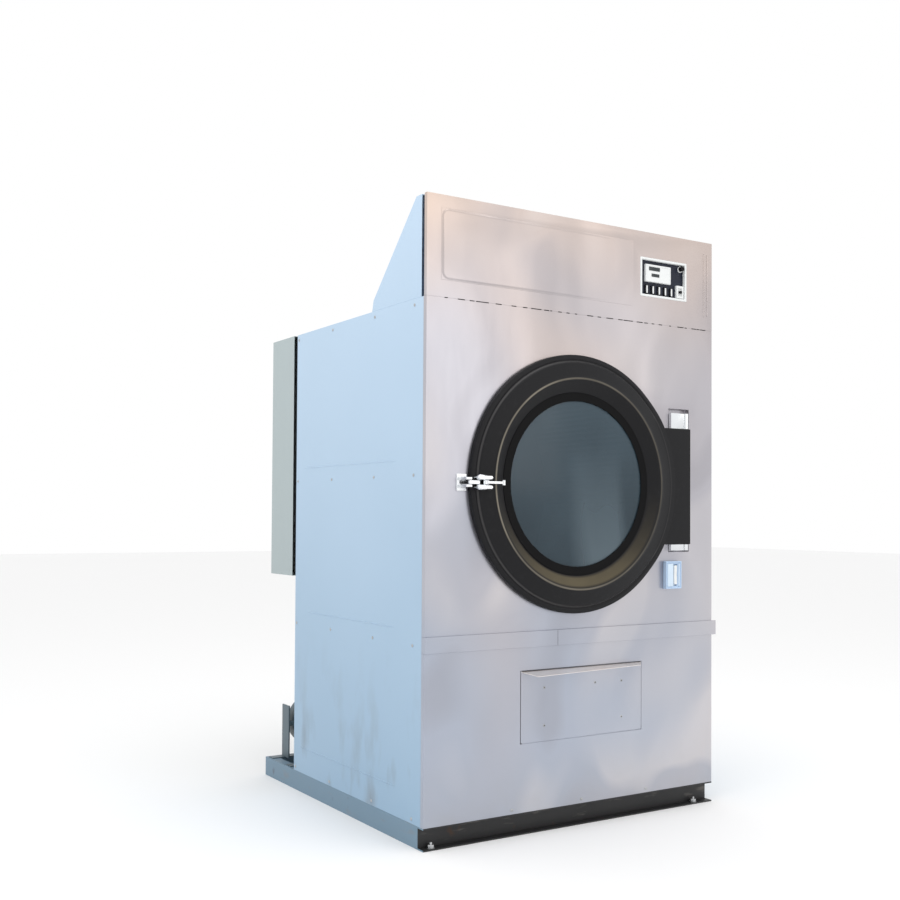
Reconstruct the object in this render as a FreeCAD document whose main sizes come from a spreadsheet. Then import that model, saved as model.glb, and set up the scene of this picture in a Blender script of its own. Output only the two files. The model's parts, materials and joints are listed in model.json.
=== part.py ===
"""Commercial tumble dryer, modelled in millimetres.

X runs to the right of someone facing the door, Y runs from the front to the back, Z runs up.
The origin is on the floor, in the middle of the four anchor bolts of the base.
"""
import FreeCAD, Part
import Sketcher
import math
import os
from FreeCAD import Rotation, Vector

doc = FreeCAD.newDocument("TumbleDryer")
sheet = doc.addObject("Spreadsheet::Sheet", "Sizes")
nodes = []
sheet_rows = []


# ---------------------------------------------------------------- sizes and how they are bound

class Size:
    """A length with its value and the spreadsheet formula that gives it."""

    def __init__(self, value, formula):
        self.value = float(value)
        self.formula = formula

    def __add__(self, other):
        other = as_size(other)
        return Size(self.value + other.value, f"({self.formula} + {other.formula})")

    def __sub__(self, other):
        other = as_size(other)
        return Size(self.value - other.value, f"({self.formula} - {other.formula})")

    def __mul__(self, other):
        other = as_size(other)
        return Size(self.value * other.value, f"({self.formula} * {other.formula})")

    def __truediv__(self, other):
        other = as_size(other)
        return Size(self.value / other.value, f"({self.formula} / {other.formula})")

    def __neg__(self):
        return Size(0, "0") - self

    def __radd__(self, other):
        return as_size(other) + self

    def __rsub__(self, other):
        return as_size(other) - self

    def __rmul__(self, other):
        return as_size(other) * self


def as_size(number):
    """Take a plain number as a size of its own."""
    return number if isinstance(number, Size) else Size(number, f"({number})")


def driving(alias, value, note):
    """Write one driving size into the sheet and return it."""
    row = len(sheet_rows) + 1
    sheet.set(f"A{row}", note)
    sheet.set(f"B{row}", str(value))
    sheet.setAlias(f"B{row}", alias)
    sheet_rows.append(alias)
    return Size(value, f"Sizes.{alias}")


def bind(thing, prop, size):
    """Tie a property of an object to the sheet."""
    thing.setExpression(prop, as_size(size).formula)


def bind_place(thing, place):
    """Tie an object's position to the sheet."""
    for letter, size in zip("xyz", place):
        bind(thing, f"Placement.Base.{letter}", size)


# ---------------------------------------------------------------- driving sizes

width = driving("width", 1380, "cabinet, side to side")
depth = driving("base_depth", 1376, "base, front to back")
cabinet_depth = driving("cabinet_depth", 1074, "front face to the back of the side panels")
shoulder = driving("shoulder_height", 1936, "top of the side panels, under the fascia and hood")
fascia_tall = driving("fascia_height", 364, "fascia, height")
belt_top = driving("belt_top", 741, "top of the trim rail")
belt_bottom = driving("belt_bottom", 683, "underside of the trim rail")

rail_tall = driving("rail_tall", 80, "base channel, height")
rail_flange = driving("rail_flange", 43, "base channel, flange")
rail_wall = driving("rail_wall", 5, "base channel, wall")
anchor_x = driving("anchor_half_x", 668, "anchor bolts, half the spacing across")
anchor_y = driving("anchor_half_y", 550, "anchor bolts, half the spacing front to back")
anchor_hole = driving("anchor_hole", 9, "anchor bolt hole, radius")

skin = driving("skin", 2, "sheet metal thickness")
tube = driving("post_tube", 40, "square tube of the cabinet frame")
tube_wall = driving("post_wall", 3, "wall of the square tube")
front_return = driving("front_return", 20, "front panel, depth of its side returns")
fascia_return = driving("fascia_return", 17, "fascia, depth of its side returns")
trim_proud = driving("trim_proud", 6, "trim rail, how far it stands proud")
trim_overhang = driving("trim_overhang", 18, "trim rail, overhang past the right side")
clear = driving("clearance", 2, "gap round loose panels")
touch_gap = driving("touch_gap", 0.5, "gap between curved faces that nearly touch")
run_gap = driving("running_gap", 0.05, "radial clearance of a shaft in its bearing")

axis_x = driving("drum_axis_x", -25, "drum and door axis, from the middle of the cabinet")
axis_z = driving("drum_axis_z", 1288, "drum and door axis, above the floor")
drum_radius = driving("drum_radius", 600, "drum, outside radius")
drum_length = driving("drum_length", 900, "drum, length")
drum_wall = driving("drum_wall", 3, "drum sheet and its rolled ends")
drum_front = driving("drum_front_gap", 88, "front face to the drum's front edge")
casing_gap = driving("casing_gap", 33, "drum to its casing")
mouth_radius = driving("mouth_radius", 400, "door mouth, radius of its collar")
lifter_tall = driving("lifter_height", 110, "drum lifter, height")
lifter_wide = driving("lifter_width", 90, "drum lifter, foot width")
shaft_radius = driving("shaft_radius", 35, "drum shaft, radius")
bearing_radius = driving("bearing_radius", 62, "drum bearing housing, radius")
drum_pulley_radius = driving("drum_pulley_radius", 350, "drum pulley, radius")
small_pulley_radius = driving("small_pulley_radius", 45, "jackshaft small pulley, radius")
large_pulley_radius = driving("large_pulley_radius", 200, "jackshaft large pulley, radius")
motor_pulley_radius = driving("motor_pulley_radius", 40, "drive motor pulley, radius")
jack_radius = driving("jackshaft_radius", 15, "jackshaft, radius")
jack_x = driving("jackshaft_x", 330, "jackshaft, from the middle")
jack_z = driving("jackshaft_z", 1560, "jackshaft, above the floor")
motor_x = driving("drive_motor_x", 540, "drive motor, from the middle")
motor_z = driving("drive_motor_z", 1770, "drive motor, above the floor")
motor_radius = driving("drive_motor_radius", 80, "drive motor, body radius")
belt_thick = driving("belt_thickness", 8, "drive belts, thickness")
belt_wide = driving("belt_width", 40, "drive belts, width")

cover_gap = driving("cover_gap", 35, "cabinet to the rear drive cover")
cover_deep = driving("cover_depth", 226, "rear drive cover, depth")
cover_low = driving("cover_low", 903, "rear drive cover, underside")

hood_start = driving("hood_start", 35, "front face to the hood's side plate")
hood_top = driving("hood_top", 74, "front face to the back of the hood's flat top")
hood_foot = driving("hood_foot", 390, "front face to the foot of the hood's slope")
hood_foot_rise = driving("hood_foot_rise", 42, "hood, height of the foot of its slope")

ring_outer = driving("ring_outer", 489, "door ring, outside radius")
ring_rim = driving("ring_rim", 20, "door ring, how far its rim stands proud")
ring_ridge = driving("ring_ridge", 397, "door ring, radius of its ridge")
ring_ridge_out = driving("ring_ridge_out", 47, "door ring, how far its ridge stands proud")
funnel_radius = driving("funnel_radius", 345, "door ring, radius at the foot of its funnel")
ring_wall = driving("ring_wall", 4, "door ring, wall")
glass_sight = driving("glass_sight", 313, "door glass, radius that shows inside its gasket")
glass_radius = driving("glass_radius", 328, "door glass, radius")
glass_thick = driving("glass_thickness", 6, "door glass, thickness")
glass_out = driving("glass_out", 15, "front face to the outside of the glass")
flange_reach = driving("flange_reach", 83, "hinge flange, how far it passes the door ring")
flange_half = driving("flange_half", 232, "hinge flange, half its height")
flange_thick = driving("flange_thick", 16, "hinge flange, thickness")
latch_tall = driving("latch_height", 54, "latch body, height")
latch_proud = driving("latch_proud", 62, "latch body, how far it stands out")
lever_reach = driving("lever_reach", 78, "latch lever, pin to grip")
hinge_tall = driving("hinge_tall", 62, "upper hinge block, height")
hinge_short = driving("hinge_short", 24, "lower hinge block, height")
hinge_barrel = driving("hinge_barrel", 11, "hinge barrel, radius")
pin_grip = driving("pin_grip", 60, "hinge pin, length inside the flange")
hinge_edge = driving("hinge_edge", 17, "hinge pin to the outer edge of the flange")
hinge_pin_radius = driving("hinge_pin_radius", 4, "door hinge pin, radius")
pocket_wide = driving("pocket_width", 112, "hinge pocket, width")
pocket_margin = driving("pocket_margin", 14, "hinge pocket, past the flange")
pocket_up = driving("pocket_up", 314, "hinge pocket, above the door axis")
pocket_down = driving("pocket_down", 263, "hinge pocket, below the door axis")
pocket_deep = driving("pocket_deep", 28, "hinge pocket, depth")

hatch_left = driving("hatch_left", -276, "lint hatch, left edge")
hatch_right = driving("hatch_right", 306, "lint hatch, right edge")
hatch_low = driving("hatch_low", 334, "lint hatch, lower edge")
hatch_high = driving("hatch_high", 596, "lint hatch, upper edge")
lip_deep = driving("lip_depth", 60, "lint hatch, depth of its pull lip")
hatch_pin_radius = driving("hatch_pin_radius", 3, "lint hatch pin, radius")

module_wide = driving("module_width", 135, "controller, width")
module_tall = driving("module_height", 70, "controller, height")
breaker_wide = driving("breaker_width", 39, "breaker, width")
breaker_tall = driving("breaker_height", 51, "breaker, height")
switch_wide = driving("switch_width", 83, "door switch, width")
switch_tall = driving("switch_height", 110, "door switch, height")
switch_proud = driving("switch_proud", 20, "door switch, how far it stands out")
window_left = driving("window_left", 298, "control window, left edge")
window_right = driving("window_right", 547, "control window, right edge")
window_rise = driving("window_rise", 106, "control window, above the foot of the fascia")
window_tall = driving("window_height", 157, "control window, height")
window_rim = driving("window_rim", 10, "control window, width of its rim")
plate_deep = driving("control_plate_depth", 14, "front face to the control plate")

duct_half = driving("duct_half_width", 600, "lint duct, half its width")
duct_back = driving("duct_back", 916, "front face to the back of the lint duct")
screen_back = driving("screen_back", 570, "front face to the lint screen")
fan_x = driving("fan_x", -490, "fan axis, from the middle")
fan_z = driving("fan_z", 237, "fan axis, above the floor")
scroll_radius = driving("scroll_radius", 150, "fan scroll, radius")
impeller_radius = driving("impeller_radius", 122, "fan impeller, radius")
inlet_radius = driving("inlet_radius", 90, "fan inlet, radius")
fan_shaft = driving("fan_shaft", 12, "fan motor shaft, radius")
spigot_x = driving("spigot_x", 265, "exhaust spigot, from the middle")
spigot_radius = driving("spigot_radius", 125, "exhaust spigot, outside radius")
collar_wide = driving("spigot_collar", 12, "exhaust spigot, width of its collar")
blade_count = 12
spigot_long = driving("spigot_length", 90, "exhaust spigot, length behind the rear panel")
fan_motor_radius = driving("fan_motor_radius", 105, "fan motor, body radius")

air_left = driving("air_left", -400, "hot air opening, left edge")
air_right = driving("air_right", 350, "hot air opening, right edge")
air_start = driving("air_start", 118, "front face to the hot air opening")
air_end = driving("air_end", 303, "front face to the back of the hot air opening")
outlet_left = driving("outlet_left", -350, "drum air outlet, left edge")
outlet_right = driving("outlet_right", 300, "drum air outlet, right edge")
outlet_start = driving("outlet_start", 140, "front face to the drum air outlet")
outlet_end = driving("outlet_end", 530, "front face to the back of the drum air outlet")
gland_radius = driving("gland_radius", 16, "cable gland, outside radius")
gland_bore = driving("gland_bore", 9, "cable gland, bore radius")
gland_z = driving("gland_z", 600, "cable gland, above the floor")

rocker_step = driving("rocker_step", 33, "control rockers, spacing")
rocker_half_x = driving("rocker_half_width", 9, "control rockers, half their width")
rocker_half_z = driving("rocker_half_height", 18, "control rockers, half their height")
switch_inset = driving("door_switch_inset", 55, "door switch, inside the hinge pin")
duct_top = driving("duct_top", 640, "top of the lint duct")

# Places that many pieces share, worked out from the sizes above.
half = width / 2
flange_left = axis_x + ring_ridge + 8
flange_right = axis_x + ring_outer + flange_reach
hinge_x = flange_right - hinge_edge
pocket_right = flange_right + pocket_margin
pocket_left = pocket_right - pocket_wide
switch_x = hinge_x - switch_inset
height = shoulder + fascia_tall
window_low = shoulder + window_rise
window_high = window_low + window_tall
face = -depth / 2
rear = face + cabinet_depth
back = depth / 2
inner = half - skin
cover_front = rear + cover_gap
cover_back = cover_front + cover_deep
drum_start = face + drum_front
drum_end = drum_start + drum_length
casing_radius = drum_radius + casing_gap + skin
casing_front = drum_start - 12
casing_back = drum_end + 42
rear_sheet = rear - 2 * skin
pulley_front = cover_front + 9
outer_pulley_front = pulley_front + belt_wide + 30
air_front = face + air_start
air_back = face + air_end
rocker_z = window_low + 32
hatch_pin_y = face + skin + 4
hatch_pin_z = hatch_low + 6
hinge_y = face - 13


# ---------------------------------------------------------------- ways of making a piece

TURNS = {
    "x": Rotation(Vector(0, 1, 0), 90),
    "y": Rotation(Vector(1, 0, 0), -90),
    "z": Rotation(),
}


def block(name, low, high):
    """A box between two opposite corners."""
    piece = doc.addObject("Part::Box", name)
    for prop, start, end in zip(("Length", "Width", "Height"), low, high):
        bind(piece, prop, end - start)
    bind_place(piece, low)
    return piece


def rod(name, start, length, radius, axis="z"):
    """A round bar from a start point along an axis."""
    piece = doc.addObject("Part::Cylinder", name)
    piece.Placement.Rotation = TURNS[axis]
    bind(piece, "Radius", radius)
    bind(piece, "Height", length)
    bind_place(piece, start)
    return piece


def cut(name, base, *tools):
    """Take tools away from a piece."""
    piece = doc.addObject("Part::Cut", name)
    piece.Base = base
    piece.Tool = tools[0] if len(tools) == 1 else group(name + "_tools", *tools)
    return piece


def join(name, *pieces):
    """Weld pieces into one solid."""
    piece = doc.addObject("Part::MultiFuse", name)
    piece.Shapes = list(pieces)
    piece.Refine = True
    return piece


def group(name, *pieces):
    """Keep separate solids together."""
    piece = doc.addObject("Part::Compound", name)
    piece.Links = list(pieces)
    return piece


def node(name, piece):
    """Name a finished sub-part; its file takes the same name."""
    piece.Label = name
    nodes.append(piece)
    return piece


def pipe(name, start, length, outside, inside, axis="y"):
    """A round tube."""
    wall = rod(name + "_outside", start, length, outside, axis)
    bore = rod(name + "_bore", start, length, inside, axis)
    return cut(name, wall, bore)


def square_tube(name, low, high, axis):
    """A square tube of the frame, open along its axis."""
    inside_low = [start + (0 if letter == axis else tube_wall) for letter, start in zip("xyz", low)]
    inside_high = [end - (0 if letter == axis else tube_wall) for letter, end in zip("xyz", high)]
    return cut(name, block(name + "_outside", low, high), block(name + "_inside", inside_low, inside_high))


def pan(name, low, high, open_side):
    """A folded sheet: a box with one side missing, such as -y for a panel open to the front."""
    inside_low = [start + skin for start in low]
    inside_high = [end - skin for end in high]
    index = "xyz".index(open_side[1])
    if open_side[0] == "-":
        inside_low[index] = low[index] - skin
    else:
        inside_high[index] = high[index] + skin
    return cut(name, block(name + "_outside", low, high), block(name + "_inside", inside_low, inside_high))


def place_point(sketch, index, start_of, pair):
    """Fix one corner of an outline by its two distances from the sketch's origin."""
    for kind, other_axis, size in (("DistanceX", -2, pair[0]), ("DistanceY", -1, pair[1])):
        size = as_size(size)
        if abs(size.value) < 1e-6:
            sketch.addConstraint(Sketcher.Constraint("PointOnObject", index, start_of, other_axis))
            continue
        row = sketch.addConstraint(Sketcher.Constraint(kind, -1, 1, index, start_of, size.value))
        sketch.setExpression(f"Constraints[{row}]", size.formula)


def outline(body, plane, corners):
    """A closed sketch through corners, on one of the body's own planes."""
    sketch = body.newObject("Sketcher::SketchObject", body.Name + "_outline")
    support = [feature for feature in body.Origin.OriginFeatures if feature.Role == plane][0]
    sketch.AttachmentSupport = [(support, "")]
    sketch.MapMode = "FlatFace"
    points = [Vector(as_size(a).value, as_size(b).value, 0) for a, b in corners]
    for index, point in enumerate(points):
        sketch.addGeometry(Part.LineSegment(point, points[(index + 1) % len(points)]), False)
    for index in range(len(points)):
        following = (index + 1) % len(points)
        sketch.addConstraint(Sketcher.Constraint("Coincident", index, 2, following, 1))
        place_point(sketch, index, 1, corners[index])
    return sketch


def turned(name, corners, place):
    """A body turned about the Y axis; its corners are (radius, y)."""
    body = doc.addObject("PartDesign::Body", name)
    sketch = outline(body, "XY_Plane", corners)
    solid = body.newObject("PartDesign::Revolution", name + "_turn")
    solid.Profile = sketch
    solid.ReferenceAxis = (sketch, ["V_Axis"])
    solid.Angle = 360
    bind_place(body, place)
    return body


def plate(name, plane, corners, thickness, place):
    """A body pushed out of an outline: YZ_Plane along +X, XZ_Plane along -Y, XY_Plane along +Z."""
    body = doc.addObject("PartDesign::Body", name)
    sketch = outline(body, plane, corners)
    solid = body.newObject("PartDesign::Pad", name + "_pad")
    solid.Profile = sketch
    bind(solid, "Length", thickness)
    bind_place(body, place)
    return body


def solid_of(name, shape, place=(0, 0, 0)):
    """A piece whose shape is worked out here from the sheet's values."""
    piece = doc.addObject("Part::Feature", name)
    piece.Shape = shape
    bind_place(piece, place)
    return piece


def mirrored_pair(make):
    """Make a piece on the left and on the right side."""
    return [make(side, name) for side, name in ((-1, "left"), (1, "right"))]


# ---------------------------------------------------------------- base and cabinet frame

def channel(name, low, high, open_axis, opens):
    """A channel lying on its side: web and two flanges, open along open_axis towards opens."""
    index = "xyz".index(open_axis)
    inside_low = list(low)
    inside_high = list(high)
    inside_low[2] = low[2] + rail_wall
    inside_high[2] = high[2] - rail_wall
    if opens > 0:
        inside_low[index] = low[index] + rail_wall
    else:
        inside_high[index] = high[index] - rail_wall
    return cut(name, block(name + "_bar", low, high), block(name + "_hollow", inside_low, inside_high))


def base_frame():
    """Four channels in a rectangle; the sides carry the anchor holes."""
    front_web = face + rail_flange
    rails = [
        channel("front_channel", (-half, face, 0), (half, front_web, rail_tall), "y", -1),
        channel("rear_channel", (-half + rail_flange, back - rail_flange, 0),
                (half - rail_flange, back, rail_tall), "y", 1),
        channel("left_channel", (-half, front_web, 0), (-half + rail_flange, back, rail_tall), "x", 1),
        channel("right_channel", (half - rail_flange, front_web, 0), (half, back, rail_tall), "x", -1),
        channel("cross_channel", (-half + rail_flange, rear - rail_flange, 0),
                (half - rail_flange, rear, rail_tall), "y", 1),
    ]
    holes = [
        rod(f"anchor_hole_{across}_{along}", (anchor_x * across, anchor_y * along, -rail_wall),
            rail_wall * 3, anchor_hole)
        for across in (-1, 1) for along in (-1, 1)
    ]
    for index, rail in ((2, rails[2]), (3, rails[3])):
        side_holes = holes[:2] if index == 2 else holes[2:]
        rails[index] = cut(rail.Name + "_drilled", rail, *side_holes)
    return node("base_frame", group("base_frame_rails", *rails))


def cabinet_frame():
    """Four posts, with rails at the belt and under the roof."""
    post_front = face + front_return + skin
    post_rear = rear_sheet - tube
    post_top = shoulder - skin
    belt = belt_bottom + 9
    tubes = []
    for side, name in ((-1, "left"), (1, "right")):
        low_x = -inner if side < 0 else inner - tube
        for start, where in ((post_front, "front"), (post_rear, "rear")):
            tubes.append(square_tube(f"{name}_{where}_post", (low_x, start, rail_tall),
                                     (low_x + tube, start + tube, post_top), "z"))
        for level, where in ((belt, "belt"), (post_top - tube, "top")):
            tubes.append(square_tube(f"{name}_{where}_rail", (low_x, post_front + tube, level),
                                     (low_x + tube, post_rear, level + tube), "y"))
    for start, where in ((post_front, "front"), (post_rear, "rear")):
        tubes.append(square_tube(f"{where}_top_rail", (-inner + tube, start, post_top - tube),
                                 (inner - tube, start + tube, post_top), "x"))
    tubes.append(square_tube("front_belt_rail", (-inner + tube, post_front, belt),
                             (inner - tube, post_front + tube, belt + tube), "x"))
    return node("cabinet_frame", group("cabinet_frame_tubes", *tubes))


# ---------------------------------------------------------------- panels and covers

def side_panels():
    """Painted side panels, folded inwards at the front and the rear."""
    start = face + front_return
    left = pan("left_panel", (-half, start, rail_tall), (-half + front_return, rear, shoulder), "+x")
    right = pan("right_panel", (half - front_return, start, rail_tall), (half, rear, shoulder), "-x")
    posts_front = start + skin
    for name, panel, low_x in (("left_side_panel", left, -inner),
                               ("right_side_panel", right, inner - tube)):
        room = block(name + "_post_room", (low_x, posts_front, rail_tall - skin),
                     (low_x + tube, rear - skin, shoulder + skin))
        node(name, cut(name + "_folded", panel, room))


def front_panel():
    """Stainless front panel with the door mouth and the hinge pocket pressed into it."""
    sheet_back = face + skin
    panel = pan("front_panel_pan", (-half, face, belt_top), (half, face + front_return, shoulder), "+y")
    mouth = rod("front_mouth", (axis_x, face - skin, axis_z), skin * 4, mouth_radius + 14, "y")
    low = (pocket_left, axis_z - pocket_down)
    high = (pocket_right, axis_z + pocket_up)
    pocket_hole = block("pocket_hole", (low[0], face - skin, low[1]), (high[0], sheet_back + skin, high[1]))
    pocket = pan("pocket_pan", (low[0] - skin, face, low[1] - skin),
                 (high[0] + skin, face + pocket_deep, high[1] + skin), "-y")
    cut_panel = cut("front_panel_cut", panel, mouth, pocket_hole)
    return node("front_panel", join("front_panel_sheet", cut_panel, pocket))


def lower_front_panel():
    """Stainless panel under the trim rail, with the hatch opening."""
    panel = pan("lower_panel_pan", (-half, face, rail_tall), (half, face + front_return, belt_bottom), "+y")
    opening = block("hatch_opening", (hatch_left - clear, face - skin, hatch_low - 2 * clear),
                    (hatch_right + clear, face + 2 * skin, hatch_high + clear))
    return node("lower_front_panel", cut("lower_front_sheet", panel, opening))


def trim_rail():
    """The rail that covers the seam between the two front panels."""
    rail = pan("trim_pan", (-half, face - trim_proud, belt_bottom),
               (half + trim_overhang, face + front_return, belt_top), "+y")
    side_room = block("trim_side_room", (half, face + skin, belt_bottom - skin),
                      (half + trim_overhang + skin, face + front_return + skin, belt_top + skin))
    return node("trim_rail", cut("trim_rail_sheet", rail, side_room))


def control_fascia():
    """Stainless fascia with a raised field and the control window."""
    panel = pan("fascia_pan", (-half, face, shoulder), (half, face + fascia_return, height), "+y")
    field = block("fascia_field", (-half + 60, face - skin / 2, shoulder + 62),
                  (half - 440, face + skin / 2, height - 45))
    window = block("fascia_window", (window_left, face - 2 * skin, window_low),
                   (window_right, face + 2 * skin, window_high))
    return node("control_fascia", cut("fascia_sheet", join("fascia_raised", panel, field), window))


def hood_outline():
    """The hood seen from the side, as (y, z) corners going round."""
    return [
        (face + hood_start, shoulder),
        (face + hood_start, height),
        (face + hood_top, height),
        (face + hood_foot, shoulder + hood_foot_rise),
        (face + hood_foot + 11, shoulder),
    ]


def hood():
    """Two side plates and a sloped cover with intake slots."""
    sides = mirrored_pair(lambda side, name: plate(
        f"hood_side_{name}", "YZ_Plane", hood_outline(), skin, (-half if side < 0 else inner, 0, 0)))
    node("hood_side_plates", group("hood_sides", *sides))
    outer = hood_outline()
    # The sheet follows the top, the slope and the foot; on the slope it is skin * sqrt(2) thick
    # straight down, which is the sheet's own thickness across a slope of 45 degrees.
    drop = skin * 1.42
    strip = [
        outer[1],
        outer[2],
        outer[3],
        outer[4],
        (outer[4][0] - skin, outer[4][1]),
        (outer[3][0] - skin, outer[3][1] - drop / 3),
        (outer[2][0] - skin / 2, height - drop),
        (outer[1][0], height - skin),
    ]
    cover = plate("hood_sheet", "YZ_Plane", strip, 2 * inner, (-inner, 0, 0))
    slots = []
    for index in range(6):
        start = face + hood_top + 60 + 36 * index
        slots.append(block(f"intake_slot_{index + 1}", (-half + 190, start, shoulder + 20),
                           (half - 190, start + 14, height)))
    return node("hood_cover", cut("hood_cover_slotted", cover, *slots))


def roof_and_rear():
    """Roof with the hot air opening, and the rear panel with its holes."""
    roof = block("roof_sheet", (-inner, face + front_return + skin, shoulder - skin),
                 (inner, rear - skin, shoulder))
    hot_air = block("roof_opening", (air_left, air_front, shoulder - 2 * skin),
                    (air_right, air_back, shoulder + skin))
    node("roof_panel", cut("roof_open", roof, hot_air))
    sheet_low = (-half + front_return, rear_sheet, rail_tall)
    sheet_high = (half - front_return, rear - skin, shoulder - skin)
    holes = [
        rod("shaft_hole", (axis_x, rear_sheet - skin, axis_z), 4 * skin, bearing_radius + clear, "y"),
        rod("jack_hole", (jack_x, rear_sheet - skin, jack_z), 4 * skin, jack_radius + 2 * clear, "y"),
        rod("motor_hole", (motor_x, rear_sheet - skin, motor_z), 4 * skin, jack_radius + 2 * clear, "y"),
        rod("fan_hole", (fan_x, rear_sheet - skin, fan_z), 4 * skin, fan_shaft + clear, "y"),
        rod("spigot_hole", (spigot_x, rear_sheet - skin, fan_z), 4 * skin, spigot_radius - skin, "y"),
        rod("gland_hole", (half - 150, rear_sheet - skin, gland_z), 4 * skin, gland_radius + touch_gap,
            "y"),
    ]
    return node("rear_panel", cut("rear_sheet_drilled", block("rear_sheet", sheet_low, sheet_high), *holes))


def rear_drive_cover():
    """The box over the belts, and the dark frame that holds it off the cabinet."""
    low = (-half, rear, cover_low)
    high = (half, cover_front, shoulder + skin)
    frame_low = (-half + tube, rear - skin, cover_low + tube)
    frame_high = (half - tube, cover_front + skin, shoulder - tube)
    node("drive_cover_frame", cut("cover_frame", block("cover_frame_outside",
                                                       (low[0] + 12, low[1], low[2] + 12),
                                                       (high[0] - 12, high[1], high[2] - 12)),
                                  block("cover_frame_inside", frame_low, frame_high)))
    box = pan("cover_box", (-half, cover_front, cover_low), (half, cover_back, shoulder + skin), "-y")
    slots = []
    for index in range(7):
        start = cover_low + 60 + 24 * index
        slots.append(block(f"cover_slot_{index + 1}", (-half + 240, cover_back - 2 * skin, start),
                           (half - 240, cover_back + skin, start + 8)))
    return node("rear_drive_cover", cut("cover_slotted", box, *slots))


# ---------------------------------------------------------------- drum and its casing

def drum_casing():
    """The air casing round the drum, with a neck up to the heater and one down to the lint duct."""
    long = casing_back - casing_front
    outside = join(
        "casing_outside",
        rod("casing_round", (axis_x, casing_front, axis_z), long, casing_radius, "y"),
        block("casing_neck_up", (air_left, air_front, axis_z), (air_right, air_back, shoulder - skin)),
        block("casing_neck_down", (outlet_left, face + outlet_start, duct_top),
              (outlet_right, face + outlet_end, axis_z)),
    )
    inside = join(
        "casing_inside",
        rod("casing_hollow", (axis_x, casing_front + skin, axis_z), long - 2 * skin, casing_radius - skin,
            "y"),
        block("neck_up_hollow", (air_left + skin, air_front + skin, axis_z),
              (air_right - skin, air_back - skin, shoulder + skin)),
        block("neck_down_hollow", (outlet_left + skin, face + outlet_start + skin, duct_top - skin),
              (outlet_right - skin, face + outlet_end - skin, axis_z)),
        rod("casing_mouth", (axis_x, casing_front - skin, axis_z), 4 * skin, mouth_radius + 2 * skin, "y"),
        rod("casing_back_hole", (axis_x, casing_back - 2 * skin, axis_z), 4 * skin,
            bearing_radius + clear, "y"),
    )
    return node("drum_casing", cut("casing_sheet", outside, inside))


def mouth_collar():
    """The collar from the front panel to the drum's mouth, and the felt that rubs on the drum."""
    start = face + skin
    felt_start = casing_front + skin
    node("door_mouth_collar", pipe("mouth_collar", (axis_x, start, axis_z), casing_front - start,
                                   mouth_radius + 2 * skin, mouth_radius))
    node("drum_felt_seal", pipe("felt_ring", (axis_x, felt_start, axis_z),
                                drum_start - touch_gap - felt_start,
                                mouth_radius + 26, mouth_radius + 2))


def drum():
    """Shell with a front rim, back plate, lifters, and the spider with its shaft and pulley."""
    place = (axis_x, 0, axis_z)
    rim = mouth_radius + 10
    shell = turned("drum_shell_body", [
        (rim, drum_start),
        (drum_radius, drum_start),
        (drum_radius, drum_end),
        (drum_radius - drum_wall, drum_end),
        (drum_radius - drum_wall, drum_start + drum_wall),
        (rim, drum_start + drum_wall),
    ], place)
    node("drum_shell", shell)
    node("drum_back_plate", rod("drum_back_disc", (axis_x, drum_end, axis_z), drum_wall, drum_radius, "y"))
    lifters = [lifter(index, index * 90) for index in range(4)]
    node("drum_lifters", group("lifter_set", *lifters))
    arm_start = drum_end + drum_wall
    arms = []
    for index in range(3):
        arm = block(f"spider_arm_{index + 1}", (-(drum_radius - 20), 0, -22), (drum_radius - 20, 26, 22))
        arm.Placement.Rotation = Rotation(Vector(0, 1, 0), index * 60)
        turned_corner = arm.Placement.Rotation.multVec(Vector(-1, 0, 0))
        turned_up = arm.Placement.Rotation.multVec(Vector(0, 0, -1))
        reach = drum_radius - 20
        bind_place(arm, (axis_x + reach * turned_corner.x + 22 * turned_up.x, arm_start,
                         axis_z + reach * turned_corner.z + 22 * turned_up.z))
        arms.append(arm)
    hub = rod("spider_hub", (axis_x, arm_start, axis_z), 32, 2 * shaft_radius, "y")
    shaft = rod("spider_shaft", (axis_x, arm_start, axis_z), pulley_front + belt_wide + 20 - arm_start,
                shaft_radius, "y")
    node("drum_spider", join("spider_weldment", *arms, hub, shaft))
    node("drum_pulley", pulley("drum_pulley_wheel", axis_x, axis_z, drum_pulley_radius, shaft_radius,
                               pulley_front))


def lifter(index, angle):
    """One lifter: a folded sheet rib along the inside of the drum."""
    foot = drum_radius - drum_wall - 4
    nose = foot - lifter_tall
    body = plate(f"lifter_{index + 1}", "XZ_Plane", [
        (-lifter_wide / 2, foot),
        (-lifter_wide / 5, nose + 12),
        (-lifter_wide / 9, nose),
        (lifter_wide / 9, nose),
        (lifter_wide / 5, nose + 12),
        (lifter_wide / 2, foot),
        (lifter_wide / 2 - 2 * skin, foot),
        (lifter_wide / 5 - 2 * skin, nose + 14),
        (lifter_wide / 9 - skin, nose + skin),
        (-lifter_wide / 9 + skin, nose + skin),
        (-lifter_wide / 5 + 2 * skin, nose + 14),
        (-lifter_wide / 2 + 2 * skin, foot),
    ], drum_length - 2 * drum_wall - 20, (axis_x, drum_end - 10, axis_z))
    body.Placement.Rotation = Rotation(Vector(0, 1, 0), angle)
    return body


def pulley(name, x, z, radius, bore, start):
    """A belt wheel with a solid web and a hub, keyed on its shaft."""
    web = 12
    rim = pipe(name + "_rim", (x, start, z), belt_wide + 4, radius, radius - 14)
    disc = rod(name + "_web", (x, start + belt_wide / 2, z), web, radius - 10, "y")
    hub = rod(name + "_hub", (x, start, z), belt_wide + 4, bore + 12, "y")
    hole = rod(name + "_bore", (x, start - 1, z), belt_wide + 6, bore, "y")
    return cut(name, join(name + "_blank", rim, disc, hub), hole)


# ---------------------------------------------------------------- drive

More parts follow.
